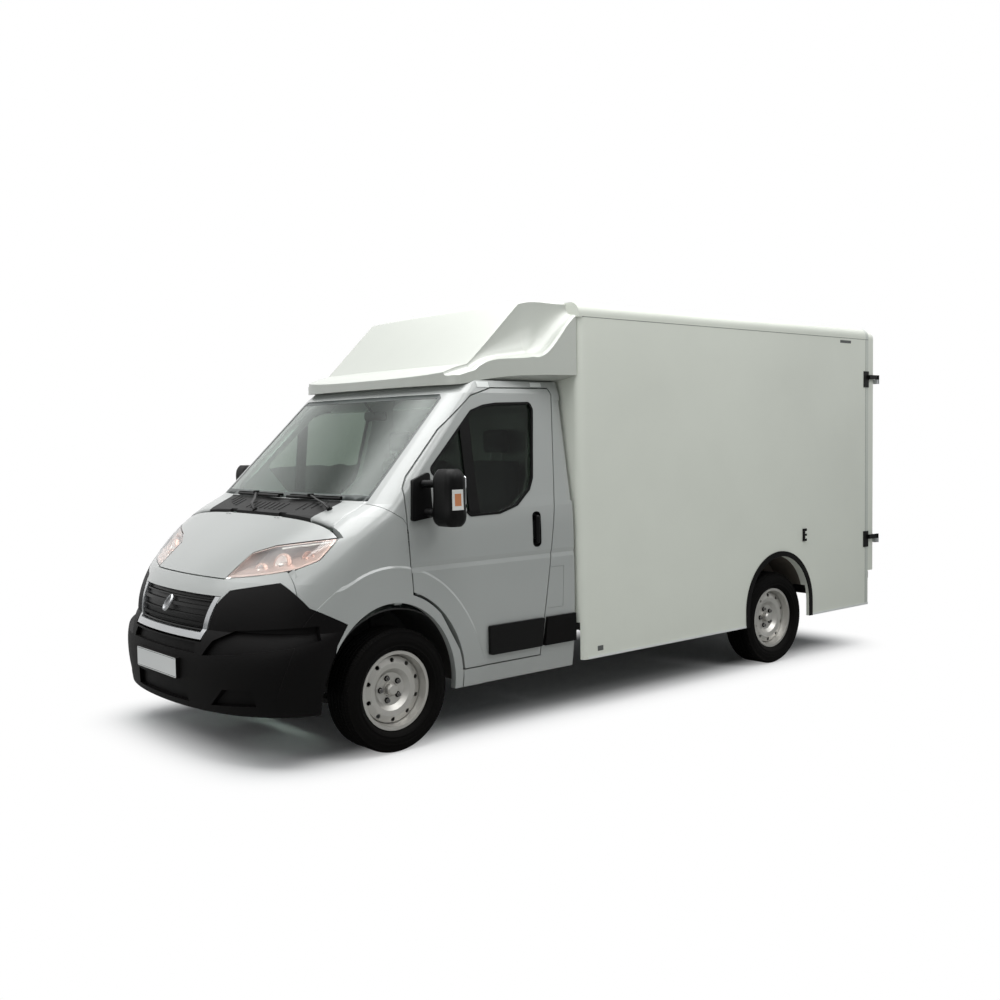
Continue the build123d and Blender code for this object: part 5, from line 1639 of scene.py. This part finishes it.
@dataclass
class Studio:
    """Pale floor, soft lamps and the camera.

    The mirrored room is what mirroring surfaces see by the ray's direction: each ramp is given as start, end,
    value before and value after.
    """

    camera_place: Point = (5.9874, -5.3783, 1.7304)
    heading: float = 49.6585
    pitch: float = 3.2363
    roll: float = -0.8847
    lens: float = 39.98
    sensor: float = 36.0
    lamps: tuple[PanelLight, ...] = (
        PanelLight("sky_panel", (0.5, -1.6, 7.0), (0.0, -0.6, 0.8), 6.0, 465.0),
        PanelLight("side_panel", (6.5, 1.5, 6.2), (0.9, 0.6, 2.2), 4.0, 150.0),
        PanelLight("front_panel_light", (2.0, -8.5, 3.6), (0.0, -2.6, 1.2), 4.0, 60.0),
    )
    fill_colour: Colour = (0.80, 0.84, 0.86)
    fill_strength: float = 0.40
    mirrored_overhead: tuple[float, ...] = (0.42, 0.60, 0.0, 1.0)
    mirrored_ceiling: tuple[float, ...] = (-0.84, -0.71, 0.20, 2.4)
    mirrored_wall: tuple[float, ...] = (0.45, 0.70, 1.0, 0.30)
    floor_reach: float = 60.0
    floor_lit: Colour = (0.45, 0.45, 0.44)
    floor_seen: Colour = (0.85, 0.85, 0.85)
    floor_roughness: float = 0.9
    shadow_half: Pair = (0.70, 2.45)
    shadow_fade: float = 0.62

    def build(self) -> None:
        """Adds the camera, the world, the floor and the lamps."""
        self._camera()
        self._world()
        self._floor()
        for lamp in self.lamps:
            lamp.build()

    def _camera(self) -> None:
        """Places the camera from its heading, pitch and roll."""
        data = bpy.data.cameras.new("camera")
        data.lens = self.lens
        data.sensor_width = self.sensor
        camera = bpy.data.objects.new("camera", data)
        bpy.context.scene.collection.objects.link(camera)
        turn, tip, lean = (math.radians(v) for v in (self.heading, self.pitch, self.roll))
        forward = Vector((-math.sin(turn) * math.cos(tip), math.cos(turn) * math.cos(tip), -math.sin(tip)))
        right = forward.cross(Vector((0, 0, 1))).normalized()
        up = right.cross(forward)
        rolled_right = right * math.cos(lean) + up * math.sin(lean)
        rolled_up = up * math.cos(lean) - right * math.sin(lean)
        matrix = Matrix((rolled_right, rolled_up, -forward)).transposed().to_4x4()
        matrix.translation = self.camera_place
        camera.matrix_world = matrix
        bpy.context.scene.camera = camera

    def _world(self) -> None:
        """Adds grey fill light; the camera and glass see white instead, mirroring surfaces the mirrored room."""
        world = bpy.data.worlds.new("studio")
        bpy.context.scene.world = world
        world.use_nodes = True
        tree = Tree(world.node_tree)
        fill = world.node_tree.nodes["Background"]
        tree.preset(fill, {"Color": (*self.fill_colour, 1.0), "Strength": self.fill_strength})
        room = tree.node("ShaderNodeBackground")
        rays = tree.node("ShaderNodeLightPath").outputs
        tree.link(tree.mix(rays["Is Glossy Ray"], (1.0, 1.0, 1.0), self._mirrored_room(tree)), room.inputs["Color"])
        seen = tree.math("MAXIMUM", rays["Is Camera Ray"], rays["Is Transmission Ray"])
        seen = tree.math("MAXIMUM", seen, rays["Is Glossy Ray"])
        tree.link(tree.choose(seen, fill.outputs[0], room.outputs[0]),
                  world.node_tree.nodes["World Output"].inputs["Surface"])

    def _mirrored_room(self, tree: Tree) -> Socket:
        """Brightness that mirroring surfaces see: a white studio with a darker far wall and ceiling corner."""
        way = tree.split("Generated")
        overhead, ceiling, wall = (
            tree.spread(way[axis], *ramp, curve="SMOOTHSTEP")
            for axis, ramp in (("Z", self.mirrored_overhead), ("X", self.mirrored_ceiling), ("X", self.mirrored_wall)))
        both = tree.math("ADD", tree.math("MULTIPLY", overhead, ceiling),
                         tree.math("MULTIPLY", tree.math("SUBTRACT", 1.0, overhead), wall))
        joined = tree.node("ShaderNodeCombineXYZ")
        for label in "XYZ":
            tree.link(both, joined.inputs[label])
        return joined.outputs[0]

    def _floor(self) -> None:
        """White floor that keeps the van's shadow."""
        mesh = bpy.data.meshes.new("floor")
        shape = bmesh.new()
        bmesh.ops.create_grid(shape, x_segments=1, y_segments=1, size=self.floor_reach)
        shape.to_mesh(mesh)
        shape.free()
        floor = bpy.data.objects.new("floor", mesh)
        bpy.context.scene.collection.objects.link(floor)
        material, tree, shader = new_material("floor_white")
        tree.preset(shader, {"Roughness": self.floor_roughness, "Specular IOR Level": 0.0})
        white = tree.node("ShaderNodeEmission")
        camera_ray = tree.node("ShaderNodeLightPath").outputs["Is Camera Ray"]
        tree.link(tree.mix(camera_ray, self.floor_lit, self.floor_seen), shader.inputs["Base Color"])
        seen = tree.math("MULTIPLY", camera_ray, self._clear_of_van(tree))
        tree.link(tree.choose(seen, shader.outputs[0], white.outputs[0]),
                  material.node_tree.nodes["Material Output"].inputs["Surface"])
        mesh.materials.append(material)

    def _clear_of_van(self, tree: Tree) -> Socket:
        """Mask that grows from 0 beside the van to 1 at the end of its shadow."""
        place = tree.split("Object")
        away = []
        for axis, half in zip("XY", self.shadow_half):
            distance = tree.math("SUBTRACT", tree.math("ABSOLUTE", place[axis]), half)
            away.append(tree.math("POWER", tree.math("MAXIMUM", distance, 0.0), 2.0))
        reach = tree.math("SQRT", tree.math("ADD", *away))
        return tree.spread(reach, 0.0, self.shadow_fade, curve="SMOOTHSTEP")


def fittings(layout: Layout) -> list:
    """Lists the van's fitted pieces, as objects whose build method makes them."""
    _, bumper_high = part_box("rear_bumper")
    bumper_low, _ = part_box("front_bumper")
    made = [fitting for corner in layout.wheels for fitting in (Tyre(corner), WheelFittings(corner))]
    made += [
        NumberPlate("front_plate", "root", (0.0, bumper_low.y, 0.499), -1.0),
        NumberPlate("rear_plate", "root", (0.0, bumper_high.y, bumper_high.z - 0.060), 1.0),
        Badge(),
        ScreenBorder(),
        Wiper("wiper_near", (0.660, -0.205, 1.352), ((0.640, 1.398), (0.120, 1.398))),
        Wiper("wiper_far", (-0.050, -0.285, 1.322), ((0.020, 1.398), (-0.560, 1.398))),
        Scuttle(),
        ScuttleEnds(),
        RoofCaps(),
        BoxTrim(),
        RearGasket(),
        Cabin(),
    ]
    for side in (1, -1):
        made += [HeadLamp(side), DoorMirror(side), DoorCard(side), RearLamp(side)]
    return made


def main() -> None:
    """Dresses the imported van, adds its fittings and sets the studio."""
    logging.basicConfig(level=logging.INFO, format="%(name)s %(message)s")
    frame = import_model()
    bpy.context.scene.view_settings.view_transform = "Standard"
    workshop = Workshop(frame)
    workshop.dress_nodes()
    for part in fittings(workshop.layout):
        part.build(workshop)
        log.info("built %s", part)
    Studio().build()


if __name__ == "__main__":
    main()
